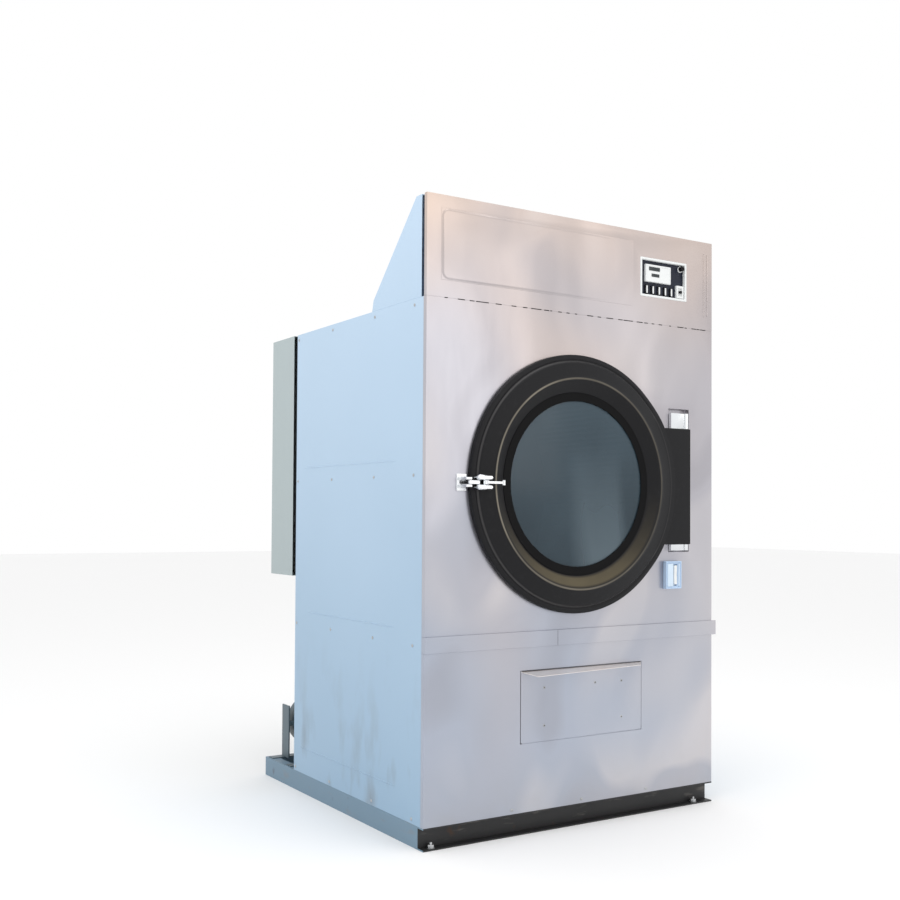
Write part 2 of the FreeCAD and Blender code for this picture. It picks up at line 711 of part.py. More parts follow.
def belt_loop(x_one, z_one, radius_one, x_two, z_two, radius_two):
    """A closed wire round two wheels: two arcs joined by the outer tangents."""
    one = Vector(x_one, 0, z_one)
    two = Vector(x_two, 0, z_two)
    along = two - one
    distance = along.Length
    bearing = math.atan2(along.z, along.x)
    lean = math.acos((radius_one - radius_two) / distance)

    def at(centre, radius, angle):
        return centre + Vector(radius * math.cos(angle), 0, radius * math.sin(angle))

    upper = bearing + lean
    lower = bearing - lean
    far = bearing + math.pi
    edges = [
        Part.LineSegment(at(one, radius_one, upper), at(two, radius_two, upper)).toShape(),
        Part.Arc(at(two, radius_two, upper), at(two, radius_two, bearing),
                 at(two, radius_two, lower)).toShape(),
        Part.LineSegment(at(two, radius_two, lower), at(one, radius_one, lower)).toShape(),
        Part.Arc(at(one, radius_one, lower), at(one, radius_one, far),
                 at(one, radius_one, upper)).toShape(),
    ]
    return Part.Wire(Part.__sortEdges__(edges))


def belt(name, one, two, start):
    """A flat belt round two wheels, a touch clear of both; one and two are (x, z, radius)."""
    gap = touch_gap.value
    loops = []
    for extra in (gap + belt_thick.value, gap):
        first = [size.value for size in one]
        second = [size.value for size in two]
        loops.append(belt_loop(first[0], first[1], first[2] + extra, second[0], second[1],
                               second[2] + extra))
    thickness = Vector(0, belt_wide.value, 0)
    outer, hollow = [Part.Face(loop).extrude(thickness) for loop in loops]
    return solid_of(name, outer.cut(hollow), (0, start, 0))


def drive():
    """Bearings on their beam, belts, the jackshaft with two pulleys, and the motor."""
    beam_front = drum_end + drum_wall + 32 + 9
    beam_half = 80
    beam = block("beam_bar", (-inner, beam_front, axis_z - beam_half),
                 (inner, rear_sheet, axis_z + beam_half))
    room = rod("beam_bore", (axis_x, beam_front - 1, axis_z), rear_sheet - beam_front + 2, bearing_radius,
               "y")
    post_room = [
        block(f"beam_post_room_{name}", (low, beam_front - 1, axis_z - beam_half - 1),
              (low + tube, rear_sheet + 1, axis_z + beam_half + 1))
        for name, low in (("left", -inner), ("right", inner - tube))
    ]
    node("bearing_beam", cut("beam_bored", beam, room, *post_room))
    housings = [
        pipe("front_bearing", (axis_x, beam_front, axis_z), rear_sheet - beam_front,
             bearing_radius, shaft_radius + run_gap),
        pipe("rear_bearing", (axis_x, rear, axis_z), cover_front - rear, bearing_radius,
             shaft_radius + run_gap),
        pipe("jackshaft_bearing", (jack_x, rear - skin, jack_z), cover_front + 6 - (rear - skin),
             50, jack_radius + run_gap),
    ]
    node("bearing_housings", group("housing_set", *housings))
    node("drive_belts", group(
        "belt_set",
        belt("drum_belt", (axis_x, axis_z, drum_pulley_radius), (jack_x, jack_z, small_pulley_radius),
             pulley_front + 2),
        belt("motor_belt", (jack_x, jack_z, large_pulley_radius), (motor_x, motor_z, motor_pulley_radius),
             outer_pulley_front + 2),
    ))
    jack_end = outer_pulley_front + belt_wide + 14
    shaft = rod("jack_bar", (jack_x, rear - skin, jack_z), jack_end - (rear - skin), jack_radius, "y")
    wheels = [
        pulley("small_pulley", jack_x, jack_z, small_pulley_radius, jack_radius, pulley_front),
        pulley("large_pulley", jack_x, jack_z, large_pulley_radius, jack_radius, outer_pulley_front),
    ]
    node("jackshaft", join("jackshaft_set", shaft, *wheels))
    motor_back = rear_sheet
    body = rod("motor_barrel", (motor_x, motor_back - 240, motor_z), 215, motor_radius, "y")
    flange = rod("motor_flange", (motor_x, motor_back - 25, motor_z), 25, motor_radius + 8, "y")
    motor_hole = rod("motor_shaft_hole", (motor_x, motor_back - 60, motor_z), 70, jack_radius + run_gap,
                     "y")
    terminals = block("motor_terminals", (motor_x - motor_radius - 26, motor_back - 190, motor_z - 15),
                      (motor_x - motor_radius + 20, motor_back - 90, motor_z + 65))
    node("drive_motor", cut("drive_motor_bored", join("drive_motor_body", body, flange, terminals),
                            motor_hole))
    node("motor_pulley", join(
        "motor_pulley_set",
        pulley("motor_wheel", motor_x, motor_z, motor_pulley_radius, jack_radius, outer_pulley_front),
        rod("motor_bar", (motor_x, motor_back - 55, motor_z),
            outer_pulley_front + belt_wide + 8 - motor_back + 55,
            jack_radius, "y"),
    ))


# ---------------------------------------------------------------- air: heater, lint duct, fan

def heater():
    """Heating rods across the hood, held by an open steel frame over the roof opening."""
    low = (air_left, air_front, shoulder)
    high = (air_right, air_back, shoulder + 90)
    frame = cut("heater_box", block("heater_box_outside", low, high),
                block("heater_box_inside", (low[0] + skin, low[1] + skin, low[2] - skin),
                      (high[0] - skin, high[1] - skin, high[2] + skin)))
    rods = []
    holes = []
    for row in range(2):
        for column in range(4):
            place = (air_left - 20, air_front + 30 + 40 * column, shoulder + 30 + 34 * row)
            long = air_right - air_left + 40
            rods.append(rod(f"heater_rod_{row}_{column}", place, long, 7, "x"))
            holes.append(rod(f"heater_hole_{row}_{column}", place, long, 7 + touch_gap, "x"))
    node("heater_frame", cut("heater_frame_drilled", frame, *holes))
    node("heater_elements", group("heater_rods", *rods))


def lint_compartment():
    """The duct under the drum, open to the hatch and the fan, and the screen across it."""
    low = (-duct_half, face + front_return + skin + tube, rail_tall + 10)
    high = (duct_half, face + duct_back, duct_top)
    duct = cut("duct_shell", block("duct_outside", low, high),
               block("duct_inside", [start + skin for start in low], [end - skin for end in high]))
    openings = [
        block("duct_front_opening", (hatch_left, low[1] - skin, hatch_low),
              (hatch_right, low[1] + 2 * skin, hatch_high)),
        block("duct_top_opening", (outlet_left + skin, face + outlet_start + skin, duct_top - 2 * skin),
              (outlet_right - skin, face + outlet_end - skin, duct_top + skin)),
        rod("duct_fan_opening", (fan_x, high[1] - 2 * skin, fan_z), 4 * skin, inlet_radius, "y"),
    ]
    node("lint_duct", cut("duct_open", duct, *openings))
    screen_front = face + screen_back
    edge = 30
    frame = cut(
        "screen_border",
        block("screen_bar", (low[0] + skin + 1, screen_front, low[2] + skin + 1),
              (high[0] - skin - 1, screen_front + 12, high[2] - skin - 1)),
        block("screen_light", (low[0] + edge, screen_front - 1, low[2] + edge),
              (high[0] - edge, screen_front + 13, high[2] - edge)),
    )
    mesh = block("screen_mesh", (low[0] + edge - 1, screen_front + 5, low[2] + edge - 1),
                 (high[0] - edge + 1, screen_front + 6, high[2] - edge + 1))
    node("lint_screen", join("screen_panel", frame, mesh))


def fan():
    """Scroll with a duct to the exhaust spigot, impeller, and the motor behind the rear panel."""
    front = face + duct_back
    deep = rear_sheet - front
    plenum_left = spigot_x - spigot_radius - collar_wide
    plenum_right = spigot_x + spigot_radius + collar_wide
    top = fan_z + scroll_radius

    def air_body(name, shrink):
        return join(
            name,
            rod(name + "_round", (fan_x, front + shrink, fan_z), deep - 2 * shrink, scroll_radius - shrink,
                "y"),
            block(name + "_throat", (fan_x, front + shrink, fan_z + 10 + shrink),
                  (plenum_left + 20, front + deep - shrink, top - shrink)),
            block(name + "_plenum", (plenum_left + shrink, front + shrink, rail_tall + 10 + shrink),
                  (plenum_right - shrink, front + deep - shrink, top - shrink)),
        )

    scroll = cut(
        "scroll_sheet", air_body("scroll_outside", 0), air_body("scroll_inside", skin),
        rod("scroll_inlet", (fan_x, front - skin, fan_z), 3 * skin, inlet_radius, "y"),
        rod("scroll_shaft_hole", (fan_x, rear_sheet - 2 * skin, fan_z), 4 * skin, fan_shaft + clear, "y"),
        rod("scroll_outlet", (spigot_x, rear_sheet - 2 * skin, fan_z), 4 * skin, spigot_radius - skin, "y"),
    )
    node("fan_scroll", scroll)
    spigot_tube = pipe("spigot_tube", (spigot_x, rear - skin, fan_z), spigot_long + skin,
                       spigot_radius, spigot_radius - skin)
    collar = pipe("spigot_collar", (spigot_x, rear - skin, fan_z), skin,
                  spigot_radius + collar_wide, spigot_radius - skin / 2)
    node("exhaust_spigot", join("spigot_set", spigot_tube, collar))
    wheel_front = front + 22
    wheel_long = deep - 44
    blades = []
    for index in range(blade_count):
        turn = Rotation(Vector(0, 1, 0), 360 * index / blade_count)
        blade = block(f"impeller_blade_{index + 1}", (0, 0, 0), (impeller_radius - 70, wheel_long, 3))
        blade.Placement.Rotation = turn
        corner = turn.multVec(Vector(66, 0, -1.5))
        bind_place(blade, (fan_x + corner.x, wheel_front, fan_z + corner.z))
        blades.append(blade)
    back_disc = rod("impeller_disc", (fan_x, wheel_front + wheel_long - 4, fan_z), 4, impeller_radius, "y")
    front_ring = pipe("impeller_ring", (fan_x, wheel_front, fan_z), 4, impeller_radius, inlet_radius - 8)
    hub = rod("impeller_hub", (fan_x, wheel_front + wheel_long - 50, fan_z), 50, 30, "y")
    bar_start = wheel_front + wheel_long - 50
    bar = rod("impeller_shaft", (fan_x, bar_start, fan_z), rear + 80 - bar_start, fan_shaft, "y")
    node("fan_impeller", join("impeller_set", back_disc, front_ring, hub, bar, *blades))
    motor_front = rear
    motor_long = back - 30 - motor_front
    barrel = rod("fan_motor_barrel", (fan_x, motor_front, fan_z), motor_long - 60, fan_motor_radius, "y")
    cowl = rod("fan_motor_cowl", (fan_x, motor_front + motor_long - 62, fan_z), 62, fan_motor_radius + 6,
               "y")
    box = block("fan_motor_terminals", (fan_x - 100, motor_front + motor_long - 190,
                                        fan_z + fan_motor_radius - 30),
                (fan_x + 20, motor_front + motor_long - 70, fan_z + fan_motor_radius + 63))
    feet = [
        block(f"fan_motor_foot_{name}", (fan_x + across, motor_front + 60, rail_tall + 4),
              (fan_x + across + 24, motor_front + motor_long - 70, fan_z - 30))
        for name, across in (("left", -fan_motor_radius + 8), ("right", fan_motor_radius - 32))
    ]
    guard = block("fan_motor_guard", (fan_x - 136, back - 103, rail_tall + 4),
                  (fan_x - 130, back - 33, fan_z + 78))
    tie = block("fan_motor_tie", (fan_x - 131, back - 100, fan_z - 10), (fan_x - 80, back - 80, fan_z + 10))
    legs = [
        block(f"fan_motor_leg_{index + 1}", (-half + 8, start, rail_tall),
              (fan_x + 130, start + rail_flange, rail_tall + 4))
        for index, start in enumerate((motor_front + 50, back - rail_flange - 20))
    ]
    bore = rod("fan_motor_bore", (fan_x, motor_front - 1, fan_z), 90, fan_shaft + run_gap, "y")
    node("fan_motor", cut("fan_motor_bored", join("fan_motor_body", barrel, cowl, box, guard, tie, *feet,
                                                  *legs), bore))


# ---------------------------------------------------------------- door, hinges and latch

def door():
    """Pressed door ring with its hinge flange, the glass, its gasket and the rim seal."""
    place = (axis_x, 0, axis_z)
    ring_back = face - 2
    groove = ring_outer - 24
    ring = turned("door_ring_body", [
        (ring_outer, ring_back),
        (ring_outer, face - ring_rim + 4),
        (ring_outer - 4, face - ring_rim),
        (groove + 4, face - ring_rim - 4),
        (groove, face - ring_rim - 1),
        (groove - 6, face - ring_rim - 8),
        (ring_ridge + 6, face - ring_ridge_out + 3),
        (ring_ridge, face - ring_ridge_out),
        (ring_ridge - 8, face - ring_ridge_out + 4),
        (funnel_radius, face - glass_out - 6),
        (glass_sight + 4, face - glass_out - 6),
        (glass_sight + 4, face - glass_out - 4),
        (funnel_radius + 2, face - glass_out - 4),
        (funnel_radius + 2, ring_back),
        (funnel_radius + 2 + ring_wall, ring_back),
        (funnel_radius + 2 + ring_wall, face - glass_out - 6),
        (ring_ridge - 8, face - ring_ridge_out + 4 + 2 * ring_wall),
        (ring_ridge + 6, face - ring_ridge_out + 3 + ring_wall),
        (groove - 6, face - ring_rim - 8 + ring_wall),
        (groove, face - ring_rim + ring_wall),
        (ring_outer - ring_wall, face - ring_rim + ring_wall + 2),
        (ring_outer - ring_wall, ring_back),
    ], place)
    flange_back = hinge_y + flange_thick / 2
    flange = block("hinge_flange_bar", (flange_left, flange_back - flange_thick, axis_z - flange_half),
                   (flange_right, flange_back, axis_z + flange_half))
    flange_room = rod("hinge_flange_room", (axis_x, face - 100, axis_z), 200, ring_outer - ring_wall / 2,
                      "y")
    pin_room = rod("hinge_flange_bore", (hinge_x, hinge_y, axis_z - flange_half - 1), 2 * flange_half + 2,
                   hinge_pin_radius + run_gap)
    node("door_ring", cut("door_ring_bored", join("door_ring_weldment", ring,
                                                  cut("hinge_flange", flange, flange_room)), pin_room))
    glass_front = face - glass_out
    node("door_glass", rod("glass_disc", (axis_x, glass_front, axis_z), glass_thick, glass_radius, "y"))
    gasket = turned("gasket_body", [
        (glass_sight, glass_front - 3),
        (funnel_radius + 1, glass_front - 3),
        (funnel_radius + 1, glass_front + glass_thick + 4),
        (glass_sight, glass_front + glass_thick + 4),
        (glass_sight, glass_front + glass_thick),
        (glass_radius, glass_front + glass_thick),
        (glass_radius, glass_front),
        (glass_sight, glass_front),
    ], place)
    seal = pipe("rim_seal", (axis_x, face - 24, axis_z), 24 - touch_gap, ring_outer - 40, ring_outer - 56)
    node("door_seals", group("door_seal_set", gasket, seal))


def hinges():
    """Chrome hinge blocks in the pocket, above and below the flange, and the pins."""
    blocks = []
    pins = []
    pocket_floor = face + pocket_deep - skin
    for name, side, long in (("upper", 1, hinge_tall), ("lower", -1, hinge_short)):
        start = axis_z + side * (flange_half + 1)
        low, high = (start, start + long) if side > 0 else (start - long, start)
        pin_low = low - pin_grip if side > 0 else low + skin
        pin_high = high - skin if side > 0 else high + pin_grip
        barrel = rod(f"{name}_hinge_barrel", (hinge_x, hinge_y, low), high - low, hinge_barrel)
        arm = block(f"{name}_hinge_arm", (hinge_x - 80, hinge_y - 2, low),
                    (hinge_x + 9, hinge_y + 12, high))
        foot = block(f"{name}_hinge_foot", (hinge_x - 70, hinge_y + 12, low),
                     (hinge_x - 20, pocket_floor, high))
        solid = join(f"{name}_hinge_block", barrel, arm, foot)
        hole = rod(f"{name}_hinge_hole", (hinge_x, hinge_y, pin_low), pin_high - pin_low, hinge_pin_radius)
        blocks.append(cut(f"{name}_hinge_bored", solid, hole))
        pins.append(rod(f"{name}_hinge_pin", (hinge_x, hinge_y, pin_low), pin_high - pin_low,
                        hinge_pin_radius))
    node("hinge_brackets", group("hinge_bracket_set", *blocks))
    hatch_pin = rod("hatch_pin", (hatch_left + 6, hatch_pin_y, hatch_pin_z), hatch_right - hatch_left - 12,
                    hatch_pin_radius, "x")
    node("hinge_pins", group("hinge_pin_set", *pins, hatch_pin))


def latch():
    """Keeper on the panel with two jaws, and on the door a faceted body, its tongue and its lever."""
    level = axis_z - 4
    tongue_front = face - 42
    keeper_left = axis_x - ring_outer - 49
    keeper_plate = block("keeper_plate", (keeper_left, face - 5, level - 31),
                         (keeper_left + 44, face, level + 31))
    jaws = [
        block(f"keeper_jaw_{name}", (keeper_left + 14, tongue_front - 4, level + low),
              (keeper_left + 40, face - 4, level + high))
        for name, low, high in (("lower", -18, -8), ("upper", 8, 18))
    ]
    node("latch_keeper", join("keeper_set", keeper_plate, *jaws))
    body_left = axis_x - ring_outer + 2
    body_front = face - latch_proud
    corners = [
        (body_left, face - ring_rim - 3),
        (body_left, body_front + 14),
        (body_left + 22, body_front),
        (body_left + 50, body_front),
        (body_left + 66, body_front + 14),
        (body_left + 72, face - ring_rim - 24),
        (body_left + 28, face - ring_rim - 11),
        (body_left + 20, face - ring_rim - 5),
    ]
    shell = plate("latch_case", "XY_Plane", corners, latch_tall, (0, 0, level - latch_tall / 2))
    slot = block("latch_tongue_slot", (body_left - 1, tongue_front - 1, level - 8),
                 (body_left + 46, tongue_front + 9, level + 8))
    lever_room = block("latch_lever_room", (body_left + 26, body_front - 1, level - 7),
                       (body_left + 80, body_front + 22, level + 7))
    pivot = (body_left + 40, body_front + 10)
    pin_hole = rod("latch_pin_hole", (pivot[0], pivot[1], level - 20), 40, 4)
    node("latch_body", cut("latch_case_open", shell, slot, lever_room, pin_hole))
    lever_bar = block("lever_bar", (pivot[0] + 6, pivot[1] - 4, level - 4),
                      (pivot[0] + lever_reach, pivot[1] + 3, level + 4))
    lever_eye = rod("lever_eye", (pivot[0], pivot[1], level - 6), 12, 8.5)
    lever_pin = rod("lever_pin", (pivot[0], pivot[1], level - 19), 38, 4 - run_gap)
    lever_grip = rod("lever_grip", (pivot[0] + lever_reach, pivot[1] - 0.5, level - 9), 18, 7)
    node("latch_lever", join("lever_set", lever_bar, lever_eye, lever_pin, lever_grip))
    node("latch_bolt", block("latch_tongue", (body_left - 22, tongue_front, level - 7),
                             (body_left + 24, tongue_front + 8, level + 7)))


# ---------------------------------------------------------------- lint hatch

def lint_hatch():
    """Hatch face with a mitred pull lip, knuckles on its pin, and four screws for its lining."""
    sheet = block("hatch_sheet", (hatch_left, face, hatch_low), (hatch_right, face + skin, hatch_high))
    lip = plate("hatch_lip", "XY_Plane", [
        (hatch_left, face),
        (hatch_right, face),
        (hatch_right - 54, face - lip_deep),
        (hatch_left + 35, face - lip_deep),
    ], skin, (0, 0, hatch_high - skin))
    knuckles = []
    holes = []
    for index, start in enumerate((hatch_left + 40, (hatch_left + hatch_right) / 2 - 30,
                                   hatch_right - 100)):
        knuckles.append(rod(f"hatch_knuckle_{index + 1}", (start, hatch_pin_y, hatch_pin_z), 60,
                            hatch_pin_y - face - skin + 0.5, "x"))
        holes.append(rod(f"hatch_knuckle_hole_{index + 1}", (start - 1, hatch_pin_y, hatch_pin_z), 62,
                         hatch_pin_radius + run_gap, "x"))
    blank = join("hatch_blank", sheet, lip, *knuckles)
    node("lint_hatch", cut("hatch_bored", blank, *holes))


# ---------------------------------------------------------------- controls

def controls():
    """Window rim, dark plate, controller, five rockers, breaker, selector and the door switch."""
    plate_front = face + plate_deep
    rim = cut("window_rim_frame",
              block("window_rim_outside", (window_left, face - skin, window_low),
                    (window_right, plate_front, window_high)),
              block("window_rim_inside", (window_left + window_rim, face - 2 * skin,
                                          window_low + window_rim),
                    (window_right - window_rim, plate_front + 1, window_high - window_rim)))
    node("control_window_rim", rim)
    module_low = (window_left + 30, window_low + 62)
    module_high = (module_low[0] + module_wide, module_low[1] + module_tall)
    breaker_low = (window_right - 52, window_low + 12)
    breaker_high = (breaker_low[0] + breaker_wide, breaker_low[1] + breaker_tall)
    holes = []
    for index in range(5):
        x = rocker_x(index)
        holes.append(block(f"rocker_hole_{index + 1}",
                           (x - rocker_half_x - 1, plate_front - 1, rocker_z - rocker_half_z - 1),
                           (x + rocker_half_x + 1, plate_front + 4, rocker_z + rocker_half_z + 1)))
    knob_place = (window_right - 24, window_high - 24)
    holes.append(rod("knob_hole", (knob_place[0], plate_front - 1, knob_place[1]), 6, 4 + run_gap, "y"))
    plate_block = block("control_plate_block", (window_left, plate_front, window_low),
                        (window_right, plate_front + skin, window_high))
    node("control_plate", cut("control_plate_cut", plate_block, *holes))
    module = block("module_case", (module_low[0], face + 2, module_low[1]),
                   (module_high[0], plate_front, module_high[1]))
    breaker = block("breaker_case", (breaker_low[0], face + 2, breaker_low[1]),
                    (breaker_high[0], plate_front, breaker_high[1]))
    slot = block("breaker_slot", (breaker_low[0] + 10, face + 1, breaker_low[1] + 10),
                 (breaker_high[0] - 10, face + 8, breaker_high[1] - 10))
    node("control_modules", group("module_set", module, cut("breaker_open", breaker, slot)))
    for index in range(5):
        x = rocker_x(index)
        cap = plate(f"rocker_cap_{index + 1}", "YZ_Plane", [
            (plate_front + 2, rocker_z - rocker_half_z),
            (plate_front - 6, rocker_z - rocker_half_z + 1),
            (plate_front - 4, rocker_z),
            (plate_front - 6, rocker_z + rocker_half_z - 1),
            (plate_front + 2, rocker_z + rocker_half_z),
        ], 2 * rocker_half_x, (x - rocker_half_x, 0, 0))
        node(f"rocker_switch_{index + 1}", cap)
    toggle_z = breaker_low[1] + 25
    node("breaker_toggle", block("toggle_lever", (breaker_low[0] + 13, face - 3, toggle_z - 5),
                                 (breaker_low[0] + 26, face + 6, toggle_z + 5)))
    node("selector_knob", join(
        "knob_set",
        rod("knob_cap", (knob_place[0], face - 4, knob_place[1]), plate_deep + 3, 9, "y"),
        rod("knob_stem", (knob_place[0], plate_front - 2, knob_place[1]), 12, 4, "y"),
        block("knob_pointer", (knob_place[0] - 1.5, face - 6, knob_place[1] - 1),
              (knob_place[0] + 1.5, face - 3, knob_place[1] + 8)),
    ))
    low = (switch_x - 54, axis_z - 410)
    high = (low[0] + switch_wide, low[1] + switch_tall)
    case = block("switch_case", (low[0], face - switch_proud, low[1]), (high[0], face, high[1]))
    recess = block("switch_recess", (low[0] + 6, face - switch_proud - 1, low[1] + 6),
                   (high[0] - 6, face - switch_proud + 5, high[1] - 6))
    well = block("switch_well", (switch_x - 10, face - switch_proud - 2, low[1] + 12),
                 (switch_x + 10, face - 5, high[1] - 12))
    node("door_switch_housing", cut("switch_case_open", case, recess, well))
    rocker = plate("switch_rocker_body", "YZ_Plane", [
        (face - 8, low[1] + 16),
        (face - 17, low[1] + 17),
        (face - 15, low[1] + 55),
        (face - 17, low[1] + 93),
        (face - 8, low[1] + 94),
    ], 16, (switch_x - 8, 0, 0))
    node("door_switch_rocker", rocker)


def rocker_x(index):
    """Where a control rocker sits across the window."""
    return window_left + 43 + rocker_step * index


# ---------------------------------------------------------------- fasteners and the cable gland

def screws():
    """Pan-head screws on the side panels, and along the foot of the lower front panel."""
    heads = []
    columns = (81, 377, 733, 1057)
    levels = (rail_tall + 17, belt_top - 36, (belt_top + shoulder) / 2 - 31, shoulder - 23)
    for side, name in ((-1, "left"), (1, "right")):
        for column, along in enumerate(columns):
            for row, level in enumerate(levels):
                start = -half - 2.5 if side < 0 else half
                place_y = face + along if column < 3 else rear - 17
                heads.append(rod(f"{name}_screw_{row}_{column}", (start, place_y, level), 2.5, 6, "x"))
    for index in range(3):
        heads.append(rod(f"front_screw_{index + 1}", (9 + 322.5 * (index - 1), face - 2.5, rail_tall + 15),
                         2.5, 6, "y"))
    node("panel_screws", group("screw_set", *heads))


def gland():
    """The gland where the supply cable enters; its bore runs right through."""
    x = half - 150
    nut = rod("gland_nut", (x, rear - skin, gland_z), 22, gland_radius + 6, "y")
    stem = rod("gland_stem", (x, rear_sheet - 12, gland_z), 40, gland_radius, "y")
    hole = rod("gland_hole_through", (x, rear_sheet - 14, gland_z), 60, gland_bore, "y")
    node("cable_gland", cut("gland_bored", join("gland_set", nut, stem), hole))


# ---------------------------------------------------------------- build, check and write

def check_document():
    """Stop if any object failed to compute, or any sub-part is empty or broken."""
    for thing in doc.Objects:
        if "Invalid" in thing.State or "Error" in thing.State:
            raise RuntimeError(f"{thing.Name} did not compute: {thing.State}")
    for piece in nodes:
        if piece.Shape.isNull() or not piece.Shape.isValid():
            raise RuntimeError(f"{piece.Label} has no valid shape")


def write_parts():
    """Write one STEP file for each sub-part."""
    os.makedirs("parts", exist_ok=True)
    for piece in nodes:
        piece.Shape.exportStep(f"parts/{piece.Label}.step")
    print(f"{len(nodes)} sub-parts written")


base_frame()
cabinet_frame()
side_panels()
front_panel()
lower_front_panel()
trim_rail()
control_fascia()
hood()
roof_and_rear()
rear_drive_cover()
drum_casing()
mouth_collar()
drum()
drive()
heater()
lint_compartment()
fan()
door()
hinges()
latch()
lint_hatch()
controls()
screws()
gland()
doc.recompute()
check_document()
write_parts()
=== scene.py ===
"""Commercial tumble dryer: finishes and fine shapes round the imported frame, in metres."""
import json
import logging
import math
from dataclasses import dataclass, field
from enum import Enum
from typing import Any, Optional, Sequence

import bmesh
import bpy
import mathutils
import numpy as np
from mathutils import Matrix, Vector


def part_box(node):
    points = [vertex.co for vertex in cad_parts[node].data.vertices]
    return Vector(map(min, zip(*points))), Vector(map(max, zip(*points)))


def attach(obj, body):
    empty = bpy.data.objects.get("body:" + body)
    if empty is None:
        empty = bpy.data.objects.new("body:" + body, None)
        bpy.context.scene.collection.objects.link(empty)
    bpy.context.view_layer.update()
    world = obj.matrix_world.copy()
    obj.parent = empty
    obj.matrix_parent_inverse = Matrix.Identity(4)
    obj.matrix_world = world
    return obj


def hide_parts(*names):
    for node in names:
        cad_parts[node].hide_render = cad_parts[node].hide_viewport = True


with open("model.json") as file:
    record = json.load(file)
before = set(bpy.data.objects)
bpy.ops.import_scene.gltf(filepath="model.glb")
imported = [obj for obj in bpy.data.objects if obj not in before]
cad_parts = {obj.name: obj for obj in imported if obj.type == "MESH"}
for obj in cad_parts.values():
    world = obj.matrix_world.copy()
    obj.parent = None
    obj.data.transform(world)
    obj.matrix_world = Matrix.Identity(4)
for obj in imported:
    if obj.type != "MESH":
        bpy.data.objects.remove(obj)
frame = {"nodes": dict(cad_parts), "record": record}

log = logging.getLogger("dryer")
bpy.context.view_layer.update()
Colour = tuple[float, float, float]
Point = tuple[float, float, float]
Material = bpy.types.Material
Piece = bpy.types.Object
TINY = 1e-9


# ------------------------------------------------------------------ shader wrappers

@dataclass(frozen=True)
class Value:
    """A shader socket that can be used in Python expressions."""

    graph: "Graph"
    socket: Any

    def _math(self, operation: str, *others: Any) -> "Value":
        """Add a Math node that works on this value and others."""
        return self.graph.math(operation, self, *others)

    def __add__(self, other: Any) -> "Value":
        """Sum."""
        return self._math("ADD", other)

    def __radd__(self, other: Any) -> "Value":
        """Sum with the number first."""
        return self._math("ADD", other)

    def __sub__(self, other: Any) -> "Value":
        """Difference."""
        return self._math("SUBTRACT", other)

    def __rsub__(self, other: Any) -> "Value":
        """Difference with the number first."""
        return self.graph.math("SUBTRACT", other, self)

    def __mul__(self, other: Any) -> "Value":
        """Product."""
        return self._math("MULTIPLY", other)

    def __rmul__(self, other: Any) -> "Value":
        """Product with the number first."""
        return self._math("MULTIPLY", other)

    def __truediv__(self, other: Any) -> "Value":
        """Quotient."""
        return self._math("DIVIDE", other)

    def power(self, exponent: float) -> "Value":
        """This value raised to a power."""
        return self._math("POWER", exponent)

    def above(self, level: float) -> "Value":
        """1 where this value is above a level, else 0."""
        return self._math("GREATER_THAN", level)

    def absolute(self) -> "Value":
        """The value without its sign."""
        return self._math("ABSOLUTE")


